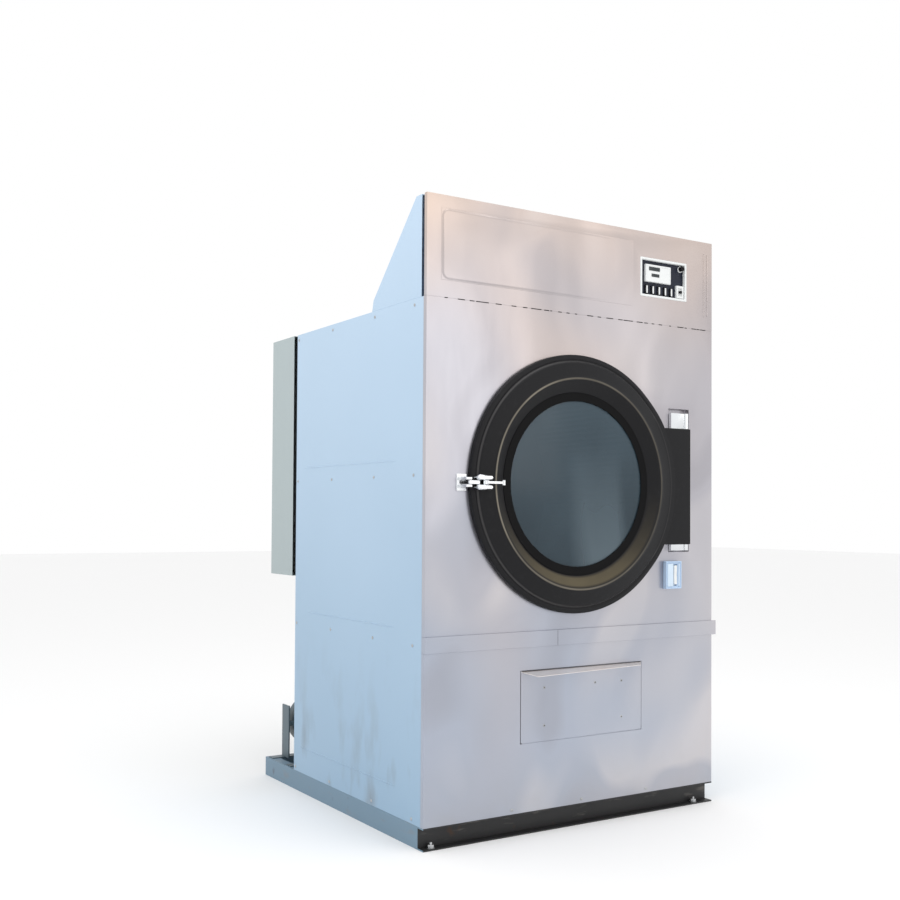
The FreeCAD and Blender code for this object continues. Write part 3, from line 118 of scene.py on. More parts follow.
class Graph:
    """One material's node tree, with a short way to add nodes and link them."""

    def __init__(self, name: str) -> None:
        """Start an empty material.

        Args:
            name: the material's name.
        """
        self.material = bpy.data.materials.new(name)
        self.material.use_nodes = True
        self.tree = self.material.node_tree
        self.tree.nodes.clear()

    def node(self, kind: str, settings: Optional[dict] = None, **inputs: Any) -> Any:
        """Add a node, set it up, then fill or link its inputs.

        Args:
            kind: the node's type, without the ShaderNode prefix.
            settings: properties set before anything is linked; ramp stops go under "stops".
            inputs: socket names with underscores for spaces, or i0, i1 for a place in the list.

        Returns:
            The new node.
        """
        made = self.tree.nodes.new("ShaderNode" + kind)
        for key, setting in (settings or {}).items():
            if key == "stops":
                self._stops(made, setting)
            else:
                setattr(made, key, setting)
        for key, given in inputs.items():
            place = int(key[1:]) if key[0] == "i" and key[1:].isdigit() else key.replace("_", " ")
            self._feed(made.inputs[place], given)
        return made

    def _stops(self, ramp: Any, stops: Sequence[tuple[float, Colour]]) -> None:
        """Give a colour ramp its stops."""
        elements = ramp.color_ramp.elements
        while len(elements) > 1:
            elements.remove(elements[-1])
        for index, (place, colour) in enumerate(stops):
            element = elements[0] if index == 0 else elements.new(place)
            element.position = place
            element.color = (*colour, 1.0)

    def _feed(self, socket: Any, given: Any) -> None:
        """Link a value to a socket, or set the socket to a constant."""
        if isinstance(given, Value):
            self.tree.links.new(given.socket, socket)
        elif hasattr(given, "is_output"):
            self.tree.links.new(given, socket)
        elif socket.type == "RGBA" and len(given) == 3:
            socket.default_value = (*given, 1.0)
        else:
            socket.default_value = given

    def value(self, kind: str, output: Any, settings: Optional[dict] = None, **inputs: Any) -> Value:
        """Add a node and wrap one of its outputs."""
        return Value(self, self.node(kind, settings, **inputs).outputs[output])

    def math(self, operation: str, *parts: Any) -> Value:
        """Add a Math node on two or three values or numbers."""
        inputs = {f"i{index}": part for index, part in enumerate(parts)}
        return self.value("Math", 0, {"operation": operation}, **inputs)

    def place(self, scale: Point = (1, 1, 1), turn: Point = (0, 0, 0)) -> Value:
        """Object coordinates, stretched and turned."""
        spot = self.value("TexCoord", "Object")
        return self.value("Mapping", 0, None, Vector=spot, Scale=scale, Rotation=turn)

    def axis(self, letter: str) -> Value:
        """One of the object coordinates, in metres."""
        return self.value("SeparateXYZ", letter, None, Vector=self.value("TexCoord", "Object"))

    def noise(self, scale: float, detail: float = 3.0, stretch: Point = (1, 1, 1), rough: float = 0.5,
              swirl: float = 0.0) -> Value:
        """Cloudy noise between about 0 and 1, scale in features per metre, bent by its swirl."""
        return self.value("TexNoise", 0, None, Vector=self.place(stretch), Scale=scale, Detail=detail,
                          Roughness=rough, Distortion=swirl)

    def cells(self, scale: float) -> Value:
        """Distance to the nearest point of a scattered set."""
        return self.value("TexVoronoi", 0, None, Vector=self.place(), Scale=scale)

    def ramp(self, factor: Value, stops: Sequence[tuple[float, Colour]]) -> Value:
        """A colour that follows a factor through stops."""
        return self.value("ValToRGB", 0, {"stops": stops}, Fac=factor)

    def span(self, factor: Value, low: float, high: float, start: float = 0.0, end: float = 1.0) -> Value:
        """Map a factor from low..high to start..end, clamped."""
        return self.value("MapRange", 0, {"clamp": True}, i0=factor, i1=low, i2=high, i3=start, i4=end)

    def blend(self, factor: Any, first: Any, second: Any, mode: str = "MIX") -> Value:
        """Mix two colours by a factor."""
        return self.value("Mix", 2, {"data_type": "RGBA", "blend_type": mode}, i0=factor, i6=first, i7=second)

    def bump(self, height: Value, depth: float, strength: float = 1.0) -> Value:
        """A Bump node over a height field whose full depth is given in metres."""
        return self.value("Bump", 0, None, Height=height, Distance=depth, Strength=strength)

    def finish(self, **inputs: Any) -> Material:
        """Close the tree with a Principled shader.

        Args:
            inputs: Principled sockets, with underscores for spaces.

        Returns:
            The finished material.
        """
        shader = self.node("BsdfPrincipled", None, **inputs)
        self.node("OutputMaterial", None, Surface=shader.outputs[0])
        return self.material


# ------------------------------------------------------------------ finishes

@dataclass(frozen=True)
class Finish:
    """A finish with a name, whose kinds say how its graph is filled."""

    name: str

    def shade(self, g: Graph) -> Material:
        """Fill the graph and close it."""
        raise NotImplementedError

    def make(self) -> Material:
        """Build the material."""
        return self.shade(Graph(self.name))


@dataclass(frozen=True)
class PolishedSheet(Finish):
    """Thin stainless sheet: painted reflections that curl over it, cooler low and warmer high, with pale painted
    highlights and dark painted shade patches; a fine grain, faint smears and dust near the floor.
    """

    warm: Colour = (0.62, 0.50, 0.43)
    middle: Colour = (0.49, 0.47, 0.50)
    cool: Colour = (0.415, 0.450, 0.530)
    # pale: the colour of the painted highlights.
    pale: Colour = (0.80, 0.75, 0.73)
    top: float = 2.3
    contrast: float = 1.0

    def shade(self, g: Graph) -> Material:
        """Fill the graph and close it."""
        height = g.span(g.axis("Z"), 0.2, self.top)
        # Painted reflections: the curling and patchy noise below lays pale highlights and dark shade over the sheet,
        # and the height turns it cooler low and warmer high.
        reflection_curls = g.noise(1.05, 1.0, (1.0, 1.0, 0.75), 0.40, 0.9)
        patches = g.noise(1.9, 0.6, (1.0, 1.0, 0.8), 0.40, 1.3)
        reflection_warmth = height * 0.78 + (reflection_curls - 0.5) * (1.25 * self.contrast) + 0.02
        tint = g.ramp(g.span(reflection_warmth, 0.0, 1.0), [(0.0, self.cool), (0.45, self.middle), (1.0, self.warm)])
        # light marks where the painted highlights fall, shade where the painted dark reflections fall.
        light = g.span(patches, 0.51, 0.62) * g.span(reflection_curls, 0.36, 0.60)
        shade = g.span(patches, 0.47, 0.38) * g.span(reflection_curls, 0.62, 0.42)
        colour = g.blend(light * (0.38 * self.contrast), tint, self.pale)
        colour = g.blend(shade * (0.30 * self.contrast), colour, (0.30, 0.29, 0.32))
        smear = g.noise(38.0, 4.0, (1.0, 1.0, 0.18))
        dusty = g.span(g.axis("Z"), 0.32, 0.08, 0.0, 0.35) * g.noise(14.0, 5.0)
        colour = g.blend(dusty, colour, (0.46, 0.44, 0.42))
        rough = 0.26 + smear * 0.10 + dusty * 0.5
        warp = g.bump(g.noise(1.6, 1.0, (1.0, 1.0, 0.7), 0.4, 1.2), 0.030)
        grain = g.noise(900.0, 2.0, (0.03, 0.03, 1.0))
        fine = g.value("Bump", 0, None, Height=grain, Distance=0.00003, Strength=0.35, Normal=warp)
        return g.finish(Base_Color=colour, Metallic=0.82, Roughness=rough, Normal=fine)


@dataclass(frozen=True)
class Paint(Finish):
    """Sprayed enamel: faint orange peel, slow colour drift, painted shade that darkens it towards the floor, and grime
    at the foot.
    """

    # high and low: the colours at the ceiling and at the floor; the change between them is painted shade.
    high: Colour
    low: Colour
    floor: float = 0.0
    ceiling: float = 2.3
    gloss: float = 0.34
    peel: float = 0.00012
    grime: float = 0.25

    def shade(self, g: Graph) -> Material:
        """Fill the graph and close it."""
        height = g.span(g.axis("Z"), self.floor, self.ceiling)
        drift = g.noise(1.3, 2.0)
        # Painted shade: lighter at the top, darker towards the floor.
        colour = g.blend(g.span(height + drift * 0.25 - 0.12, 0.0, 1.0), self.low, self.high)
        dirt = g.span(g.noise(9.0, 6.0, (1.0, 1.0, 0.4)), 0.52, 0.80) * g.span(height, 0.30, 0.0) * self.grime * 3
        colour = g.blend(dirt, colour, (0.20, 0.19, 0.18))
        speck = g.cells(60.0)
        rough = self.gloss + drift * 0.08 + dirt * 0.4
        peel = g.bump(g.noise(420.0, 2.0) + speck * 0.1, self.peel)
        return g.finish(Base_Color=colour, Roughness=rough, Normal=peel, Specular_IOR_Level=0.5)


@dataclass(frozen=True)
class Metal(Finish):
    """Bare metal: brushed, plated or cast, with patches and fine scratches."""

    colour: Colour
    shadow: Colour
    rough: float = 0.3
    grain: float = 300.0
    along: Point = (1.0, 1.0, 0.1)
    relief: float = 0.00005

    def shade(self, g: Graph) -> Material:
        """Fill the graph and close it."""
        patch = g.span(g.noise(7.0, 5.0), 0.35, 0.75)
        scratch = g.noise(self.grain, 3.0, self.along)
        colour = g.blend(patch * 0.7, self.colour, self.shadow)
        rough = self.rough + patch * 0.12 + scratch * 0.10
        return g.finish(Base_Color=colour, Metallic=1.0, Roughness=rough, Normal=g.bump(scratch, self.relief))


@dataclass(frozen=True)
class Zinc(Finish):
    """Galvanised sheet: spangle in pale and dark crystals."""

    colour: Colour = (0.55, 0.57, 0.58)

    def shade(self, g: Graph) -> Material:
        """Fill the graph and close it."""
        spangle = g.value("TexVoronoi", "Color", None, Vector=g.place(), Scale=34.0)
        shade = g.value("SeparateColor", 0, None, Color=spangle)
        colour = g.blend(shade * 0.45, self.colour, (0.36, 0.38, 0.40))
        rough = 0.38 + shade * 0.16
        return g.finish(Base_Color=colour, Metallic=0.9, Roughness=rough, Normal=g.bump(shade, 0.00006))


@dataclass(frozen=True)
class Moulding(Finish):
    """Plastic or rubber with a fine moulded grain and a slow change of shade."""

    colour: Colour
    rough: float = 0.4
    grain: float = 700.0
    relief: float = 0.00006
    worn: Colour = (0.5, 0.5, 0.5)
    wear: float = 0.12
    shine: float = 0.4

    def shade(self, g: Graph) -> Material:
        """Fill the graph and close it."""
        drift = g.span(g.noise(11.0, 4.0), 0.4, 0.8)
        colour = g.blend(drift * self.wear, self.colour, self.worn)
        grain = g.noise(self.grain, 2.0)
        rough = self.rough + drift * 0.10 + grain * 0.06
        return g.finish(Base_Color=colour, Roughness=rough, Normal=g.bump(grain, self.relief),
                        Specular_IOR_Level=self.shine)


@dataclass(frozen=True)
class DoorEnamel(Finish):
    """Satin charcoal of the door ring, with painted highlights along its ridge and the groove's edge, brighter on the
    left, and a painted olive sheen low in the funnel.
    """

    centre: Point
    funnel: float
    ridge: float

    def shade(self, g: Graph) -> Material:
        """Fill the graph and close it."""
        across = g.axis("X") - self.centre[0]
        rise = g.axis("Z") - self.centre[2]
        radius = g.math("SQRT", across * across + rise * rise)
        inside = (g.span(radius, self.ridge - 0.004, self.ridge - 0.014)
                  * g.span(radius, self.funnel + 0.002, self.funnel + 0.012))
        # Painted sheen: olive light low inside the funnel, between its foot and the ridge.
        low = g.span(rise, 0.02, -0.37)
        drift = g.noise(4.0, 3.0)
        painted_sheen = inside * low * low * g.span(drift, 0.2, 0.7, 0.6, 1.0)
        colour = g.blend(painted_sheen, (0.0052, 0.0052, 0.0066), (0.105, 0.086, 0.050))
        # Painted highlights: the mask named worn lights the ridge and outer the groove's edge, both brighter towards
        # the left through side.
        edge = g.span((radius - self.ridge).absolute(), 0.0048, 0.0016)
        outer = g.span((radius - self.ridge - 0.066).absolute(), 0.0040, 0.0012)
        side = g.span(across, 0.30, -0.20, 0.35, 1.0)
        worn = edge * side * g.span(g.noise(6.0, 3.0), 0.25, 0.6, 0.5, 1.0)
        colour = g.blend(worn * 0.85, colour, (0.24, 0.215, 0.17))
        colour = g.blend(outer * side * 0.35, colour, (0.12, 0.115, 0.115))
        dust = g.span(g.noise(60.0, 6.0), 0.55, 0.8) * 0.02
        colour = g.blend(dust, colour, (0.20, 0.20, 0.21))
        rough = 0.36 + drift * 0.12 + dust
        peel = g.bump(g.noise(520.0, 2.0), 0.0001)
        return g.finish(Base_Color=colour, Roughness=rough, Normal=peel, Specular_IOR_Level=0.22)


@dataclass(frozen=True)
class DoorGlass(Finish):
    """Tinted glass: a slate-blue film over what lies behind, painted lighter towards the top and with painted light
    streaks low down as reflections, and faint smears.
    """

    tint: Colour = (0.022, 0.036, 0.048)
    body: float = 0.70

    def shade(self, g: Graph) -> Material:
        """Fill the graph and close it."""
        cloud = g.noise(2.2, 3.0, (1.0, 1.0, 0.8))
        smear = g.noise(22.0, 4.0, (0.5, 1.0, 1.4))
        # Painted reflection: the film is lighter towards the top and where the cloud is high.
        rise = g.span(g.axis("Z"), 0.97, 1.60)
        colour = g.blend(g.span(rise * 0.5 + cloud * 0.8, 0.30, 1.05), self.tint, (0.070, 0.110, 0.140))
        # Painted reflection: pale streaks, strongest low on the pane.
        reflection_streak = g.span(g.noise(4.2, 1.0, (1.0, 1.0, 0.14), 0.4, 0.5), 0.52, 0.68) * g.span(rise, 0.75, 0.10)
        colour = g.blend(reflection_streak * 0.45, colour, (0.19, 0.25, 0.29))
        rough = 0.07 + smear * 0.10
        return g.finish(Base_Color=colour, Roughness=rough, Alpha=self.body + cloud * 0.15,
                        Specular_IOR_Level=0.35, Normal=g.bump(smear, 0.00003))


@dataclass(frozen=True)
class Perforated(Finish):
    """Satin drum sheet with rows of round holes, drawn from the drum's own angle and length."""

    centre: tuple[float, float] = (-0.025, 1.288)
    pitch: float = 0.024
    holes_round: int = 157
    hole: float = 0.30

    def shade(self, g: Graph) -> Material:
        """Fill the graph and close it."""
        across = g.axis("X") - self.centre[0]
        height = g.axis("Z") - self.centre[1]
        along = g.axis("Y") / self.pitch
        round_ = g.math("ARCTAN2", height, across) * (self.holes_round / math.tau)
        dx = g.math("FRACT", along) - 0.5
        dy = g.math("FRACT", round_) - 0.5
        gap = g.math("SQRT", dx * dx + dy * dy)
        sheet = gap.above(self.hole)
        patch = g.noise(5.0, 4.0)
        colour = g.blend(patch * 0.5, (0.62, 0.64, 0.66), (0.42, 0.44, 0.46))
        colour = g.blend(sheet, (0.02, 0.02, 0.022), colour)
        edge = g.span(gap, self.hole - 0.06, self.hole + 0.08)
        return g.finish(Base_Color=colour, Metallic=sheet * 0.9, Roughness=0.30 + patch * 0.15,
                        Normal=g.bump(edge, 0.0012))


@dataclass(frozen=True)
class WireCloth(Finish):
    """Woven wire of the lint screen, with grey lint caught in it."""

    pitch: float = 0.004

    def shade(self, g: Graph) -> Material:
        """Fill the graph and close it."""
        across = g.math("SINE", g.axis("X") * (math.tau / self.pitch))
        upward = g.math("SINE", g.axis("Z") * (math.tau / self.pitch))
        weave = g.math("MAXIMUM", across, upward)
        lint = g.span(g.noise(16.0, 6.0), 0.45, 0.75)
        colour = g.blend(g.span(weave, 0.2, 0.9), (0.10, 0.10, 0.10), (0.60, 0.61, 0.62))
        colour = g.blend(lint * 0.7, colour, (0.45, 0.44, 0.43))
        return g.finish(Base_Color=colour, Metallic=0.6 - lint * 0.5, Roughness=0.4 + lint * 0.4,
                        Normal=g.bump(weave, 0.0006))


@dataclass(frozen=True)
class Felt(Finish):
    """Pressed wool felt, hairy and matt."""

    colour: Colour = (0.30, 0.28, 0.25)

    def shade(self, g: Graph) -> Material:
        """Fill the graph and close it."""
        hair = g.noise(520.0, 6.0, (1.0, 0.3, 1.0), 0.7)
        clump = g.noise(40.0, 3.0)
        colour = g.blend(hair * clump, self.colour, (0.55, 0.52, 0.48))
        return g.finish(Base_Color=colour, Roughness=0.9 + hair * 0.1, Normal=g.bump(hair, 0.0012))


@dataclass(frozen=True)
class Display(Finish):
    """A dark display with a fine dot grid and a slight haze."""

    glow: Colour = (0.16, 0.34, 0.42)

    def shade(self, g: Graph) -> Material:
        """Fill the graph and close it."""
        dots = g.math("SINE", g.axis("X") * 2600.0) * g.math("SINE", g.axis("Z") * 2600.0)
        haze = g.noise(30.0, 3.0)
        colour = g.blend(g.span(dots, 0.2, 0.9) * 0.10 + haze * 0.04, (0.004, 0.005, 0.006), self.glow)
        return g.finish(Base_Color=colour, Roughness=0.18 + haze * 0.1, Specular_IOR_Level=0.6)


@dataclass(frozen=True)
class HeatTint(Finish):
    """Sheathed heating rod, straw to blue where it runs hot."""


    def shade(self, g: Graph) -> Material:
        """Fill the graph and close it."""
        heat = g.noise(9.0, 4.0, (1.0, 3.0, 3.0))
        colour = g.ramp(heat, [(0.2, (0.10, 0.09, 0.10)), (0.5, (0.30, 0.18, 0.10)), (0.8, (0.12, 0.14, 0.24))])
        return g.finish(Base_Color=colour, Metallic=0.8, Roughness=0.45 + heat * 0.2,
                        Normal=g.bump(g.noise(300.0, 2.0), 0.0001))


@dataclass(frozen=True)
class BasePaint(Finish):
    """Channel steel paint: blue-grey on the sides, black on the front channel, scuffed and rusty low down."""

    side: Colour = (0.16, 0.25, 0.33)
    front: Colour = (0.016, 0.016, 0.017)
    edge: float = -0.640
    side_face: float = 0.6892

    def shade(self, g: Graph) -> Material:
        """Fill the graph and close it."""
        back = g.span(g.axis("Y"), self.edge, self.edge + 0.003)
        back = g.math("MAXIMUM", back, g.span(g.axis("X").absolute(), self.side_face, self.side_face + 0.0005))
        drift = g.noise(6.0, 5.0)
        colour = g.blend(back, self.front, self.side)
        scuff = g.span(g.noise(24.0, 6.0, (0.3, 0.3, 1.4)), 0.60, 0.72)
        colour = g.blend(scuff * 0.35, colour, (0.22, 0.20, 0.18))
        rust = g.span(g.noise(13.0, 6.0), 0.66, 0.76)
        colour = g.blend(rust * 0.5, colour, (0.11, 0.055, 0.03))
        rough = 0.42 + drift * 0.15 + rust * 0.3
        return g.finish(Base_Color=colour, Roughness=rough, Normal=g.bump(g.noise(160.0, 3.0) + scuff * 0.4, 0.0003))


# ------------------------------------------------------------------ surfaces

BODY_OF = {node: body for body, nodes in frame["record"]["behaviour"]["bodies"].items() for node in nodes}
SLOT_OF = {row["node"]: row["material_slot"] for row in frame["record"]["subparts"]}


class Axis(Enum):
    """The direction a shape is turned about or pushed along."""

    X = (1, 2, 0)
    Y = (2, 0, 1)
    Z = (0, 1, 2)

    def points(self, first: np.ndarray, second: np.ndarray, along: np.ndarray) -> np.ndarray:
        """Put two cross coordinates and one along coordinate in x, y, z order."""
        stacked = np.empty(np.broadcast(first, second, along).shape + (3,))
        for column, values in zip(self.value, (first, second, along)):
            stacked[..., column] = values
        return stacked


def corners_of(node: str) -> tuple[np.ndarray, np.ndarray]:
    """Lowest and highest corner of a frame node."""
    low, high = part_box(node)
    return np.array(low, float), np.array(high, float)


def smooth_step(value: np.ndarray) -> np.ndarray:
    """Ease from 0 to 1: three times the square less twice the cube, clamped."""
    held = np.clip(value, 0.0, 1.0)
    return held * held * (3.0 - 2.0 * held)


def rounded(corners: Sequence[tuple[float, float]], radius: float, steps: int = 5) -> np.ndarray:
    """Round the inner corners of an open outline.

    Each corner is swapped for a quadratic curve that leaves one side and joins the next at the
    radius from the corner, or at half the side where the side is short.

    Args:
        corners: the outline's points.
        radius: distance from a corner at which its curve starts.
        steps: pieces in each curve.

    Returns:
        The rounded outline as rows of two numbers.
    """
    spots = np.array(corners, float)
    ease = np.linspace(0.0, 1.0, steps + 1)[:, None]
    rows = [spots[:1]]
    for before, corner, after in zip(spots[:-2], spots[1:-1], spots[2:]):
        reach_in = min(radius, np.linalg.norm(before - corner) / 2)
        reach_out = min(radius, np.linalg.norm(after - corner) / 2)
        start = corner + (before - corner) / np.linalg.norm(before - corner) * reach_in
        end = corner + (after - corner) / np.linalg.norm(after - corner) * reach_out
        rows.append((1 - ease) ** 2 * start + 2 * ease * (1 - ease) * corner + ease ** 2 * end)
    rows.append(spots[-1:])
    return np.vstack(rows)


def lattice(name: str, points: np.ndarray, wrap_rows: bool = False, wrap_columns: bool = False,
            crease: float = 35.0) -> Piece:
    """Make a mesh from a grid of points, one quad for each cell.

    Args:
        name: the piece's name.
        points: array of rows by columns by three.
        wrap_rows: join the last row to the first.
        wrap_columns: join the last column to the first.
        crease: angle in degrees past which an edge stays sharp.

    Returns:
        The new object.
    """
    rows, columns = points.shape[:2]
    row = np.arange(rows if wrap_rows else rows - 1)[:, None]
    column = np.arange(columns if wrap_columns else columns - 1)[None, :]
    next_row = (row + 1) % rows
    next_column = (column + 1) % columns
    faces = np.stack([row * columns + column, row * columns + next_column,
                      next_row * columns + next_column, next_row * columns + column], -1).reshape(-1, 4)
    mesh = bpy.data.meshes.new(name)
    mesh.from_pydata(points.reshape(-1, 3).tolist(), [], faces.tolist())
    return place_mesh(name, mesh, crease)


def place_mesh(name: str, mesh: bpy.types.Mesh, crease: float) -> Piece:
    """Close seams and poles, face outward, keep corners sharp and put the mesh in the scene."""
    shape = bmesh.new()
    shape.from_mesh(mesh)
    bmesh.ops.remove_doubles(shape, verts=shape.verts, dist=1e-6)
    bmesh.ops.dissolve_degenerate(shape, edges=shape.edges, dist=1e-7)
    bmesh.ops.recalc_face_normals(shape, faces=shape.faces)
    shape.to_mesh(mesh)
    shape.free()
    sharpen(mesh, crease)
    piece = bpy.data.objects.new(name, mesh)
    bpy.context.scene.collection.objects.link(piece)
    return piece


def sharpen(mesh: bpy.types.Mesh, crease: float) -> None:
    """Shade a mesh smooth, apart from the edges that turn more than an angle in degrees."""
    mesh.shade_smooth()
    mesh.set_sharp_from_angle(angle=math.radians(crease))


def turned(name: str, centre: Sequence[float], axis: Axis, profile: np.ndarray, sides: int = 96,
           loop: bool = False) -> Piece:
    """Turn a profile about an axis.

    A point at radius r and distance a along the axis goes to the centre plus a along it, plus r
    times the cosine and sine of the turn.

    Args:
        name: the piece's name.
        centre: a point on the axis.
        axis: the axis.
        profile: rows of radius and distance along the axis.
        sides: steps round the turn.
        loop: join the profile's end to its start.

    Returns:
        The new object.
    """
    turn = np.linspace(0, math.tau, sides, endpoint=False)[None, :]
    radius, along = profile[:, :1], profile[:, 1:]
    points = axis.points(radius * np.cos(turn), radius * np.sin(turn), along + 0 * turn)
    return lattice(name, points + np.array(centre), wrap_rows=loop, wrap_columns=True)


def block(name: str, low: Sequence[float], high: Sequence[float], axis: Axis, corner: float, edge: float,
          steps: int = 5) -> Piece:
    """A block with rounded corners round an axis and softened rims at both ends.

    Its outline is a rectangle whose corners are quarter circles. Along the axis the outline first
    grows by one less the cosine of a quarter turn as it climbs by the sine, runs straight, then
    closes the same way, and each end shrinks to a point in its middle.

    Args:
        name: the piece's name.
        low: lowest corner.
        high: highest corner.
        axis: the direction that the outline is pushed along.
        corner: radius of the outline's corners.
        edge: radius of the rims.
        steps: pieces in each quarter circle.

    Returns:
        The new object.
    """
    first, second, along = axis.value
    lows, highs = np.array(low, float), np.array(high, float)
    half = (highs - lows)[[first, second]] / 2
    middle = (highs + lows)[[first, second]] / 2
    quarter = np.linspace(0, math.pi / 2, steps + 1)
    turn = np.concatenate([quarter + side * math.pi / 2 for side in range(4)])
    reach = np.repeat([[1, 1], [-1, 1], [-1, -1], [1, -1]], steps + 1, axis=0) * (half - corner)
    inset = np.concatenate([[min(half)], edge * (1 - np.cos(quarter[::-1])),
                            edge * (1 - np.cos(quarter)), [min(half)]])
    height = np.concatenate([[lows[along]], lows[along] + edge * (1 - np.sin(quarter[::-1])),
                             highs[along] - edge * (1 - np.sin(quarter)), [highs[along]]])
    rim = corner - inset[:, None]
    outer = np.maximum(rim, 0.0)
    shrink = np.minimum(rim, 0.0)
    scale_first = np.clip(1 + shrink / max(half[0] - corner, TINY), 0.0, 1.0)
    scale_second = np.clip(1 + shrink / max(half[1] - corner, TINY), 0.0, 1.0)
    closed = np.zeros_like(inset)[:, None]
    closed[[0, -1]] = 1.0
    cross_first = (middle[0] + (reach[:, 0] * scale_first + outer * np.cos(turn)) * (1 - closed))
    cross_second = (middle[1] + (reach[:, 1] * scale_second + outer * np.sin(turn)) * (1 - closed))
    points = axis.points(cross_first, cross_second, height[:, None] + 0 * cross_first)
    return lattice(name, points, wrap_columns=True, crease=50.0)


def softened(node: str, width: float = 0.0012, segments: int = 2, crease: float = 30.0,
             name: str = "") -> Piece:
    """Copy a frame node's shape with its edges eased, as folded or moulded edges are.

    Args:
        node: the frame node.
        width: width of the eased edge; none is added at 0.
        segments: pieces across the eased edge.
        crease: angle in degrees past which an edge is eased.
        name: the piece's name, if it isn't the node's with "fine" before it.

    Returns:
        The new object, which stands for the node and rides on its body.
    """
    mesh = frame["nodes"][node].data.copy()
    mesh.materials.clear()
    shape = bmesh.new()
    shape.from_mesh(mesh)
    bmesh.ops.remove_doubles(shape, verts=shape.verts, dist=1e-5)
    bmesh.ops.dissolve_limit(shape, angle_limit=math.radians(0.5), verts=shape.verts, edges=shape.edges)
    shape.to_mesh(mesh)
    shape.free()
    sharpen(mesh, crease)
    label = name or f"fine_{node}"
    mesh.name = label
    piece = bpy.data.objects.new(label, mesh)
    bpy.context.scene.collection.objects.link(piece)
    if width > 0:
        ease = piece.modifiers.new("eased", "BEVEL")
        ease.width = width
        ease.segments = segments
        ease.limit_method = "ANGLE"
        ease.angle_limit = math.radians(crease)
        ease.harden_normals = True
    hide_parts(node)
    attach(piece, BODY_OF[node])
    return piece


def dress(piece: Piece, material: Material, body: str = "") -> Piece:
    """Give a piece its finish, and its body where one is given.

    Args:
        piece: the object.
        material: its finish.
        body: the body it moves with.

    Returns:
        The same object.
    """
    piece.data.materials.clear()
    piece.data.materials.append(material)
    if body:
        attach(piece, body)
    log.info("%s: %d faces", piece.name, len(piece.data.polygons))
    return piece


def joined(name: str, pieces: Sequence[Piece]) -> Piece:
    """Put several loose pieces into one mesh.

    Args:
        name: the name of the result.
        pieces: objects that aren't placed on a body yet; they are used up.

    Returns:
        The new object.
    """
    shape = bmesh.new()
    for piece in pieces:
        shape.from_mesh(piece.data)
        bpy.data.objects.remove(piece)
    mesh = bpy.data.meshes.new(name)
    shape.to_mesh(mesh)
    shape.free()
    sharpen(mesh, 40.0)
    whole = bpy.data.objects.new(name, mesh)
    bpy.context.scene.collection.objects.link(whole)
    return whole


def islands(node: str) -> list[tuple[np.ndarray, np.ndarray]]:
    """Lowest and highest corners of each separate lump in a frame node's mesh, in order of place."""
    shape = bmesh.new()
    shape.from_mesh(frame["nodes"][node].data)
    bmesh.ops.remove_doubles(shape, verts=shape.verts, dist=1e-5)
    left = set(shape.verts)
    found = []
    while left:
        front = [left.pop()]
        lump = list(front)
        while front:
            near = {edge.other_vert(vertex) for vertex in front for edge in vertex.link_edges} & left
            left -= near
            front = list(near)
            lump += front
        spots = np.array([vertex.co[:] for vertex in lump])
        found.append((spots.min(0), spots.max(0)))
    shape.free()
    return sorted(found, key=lambda pair: pair[0].tolist() + pair[1].tolist())


# ------------------------------------------------------------------ finishes in use

def made(finish: Finish) -> Any:
    """A dataclass field that makes its finish when the machine's finishes are made."""
    return field(default_factory=finish.make)


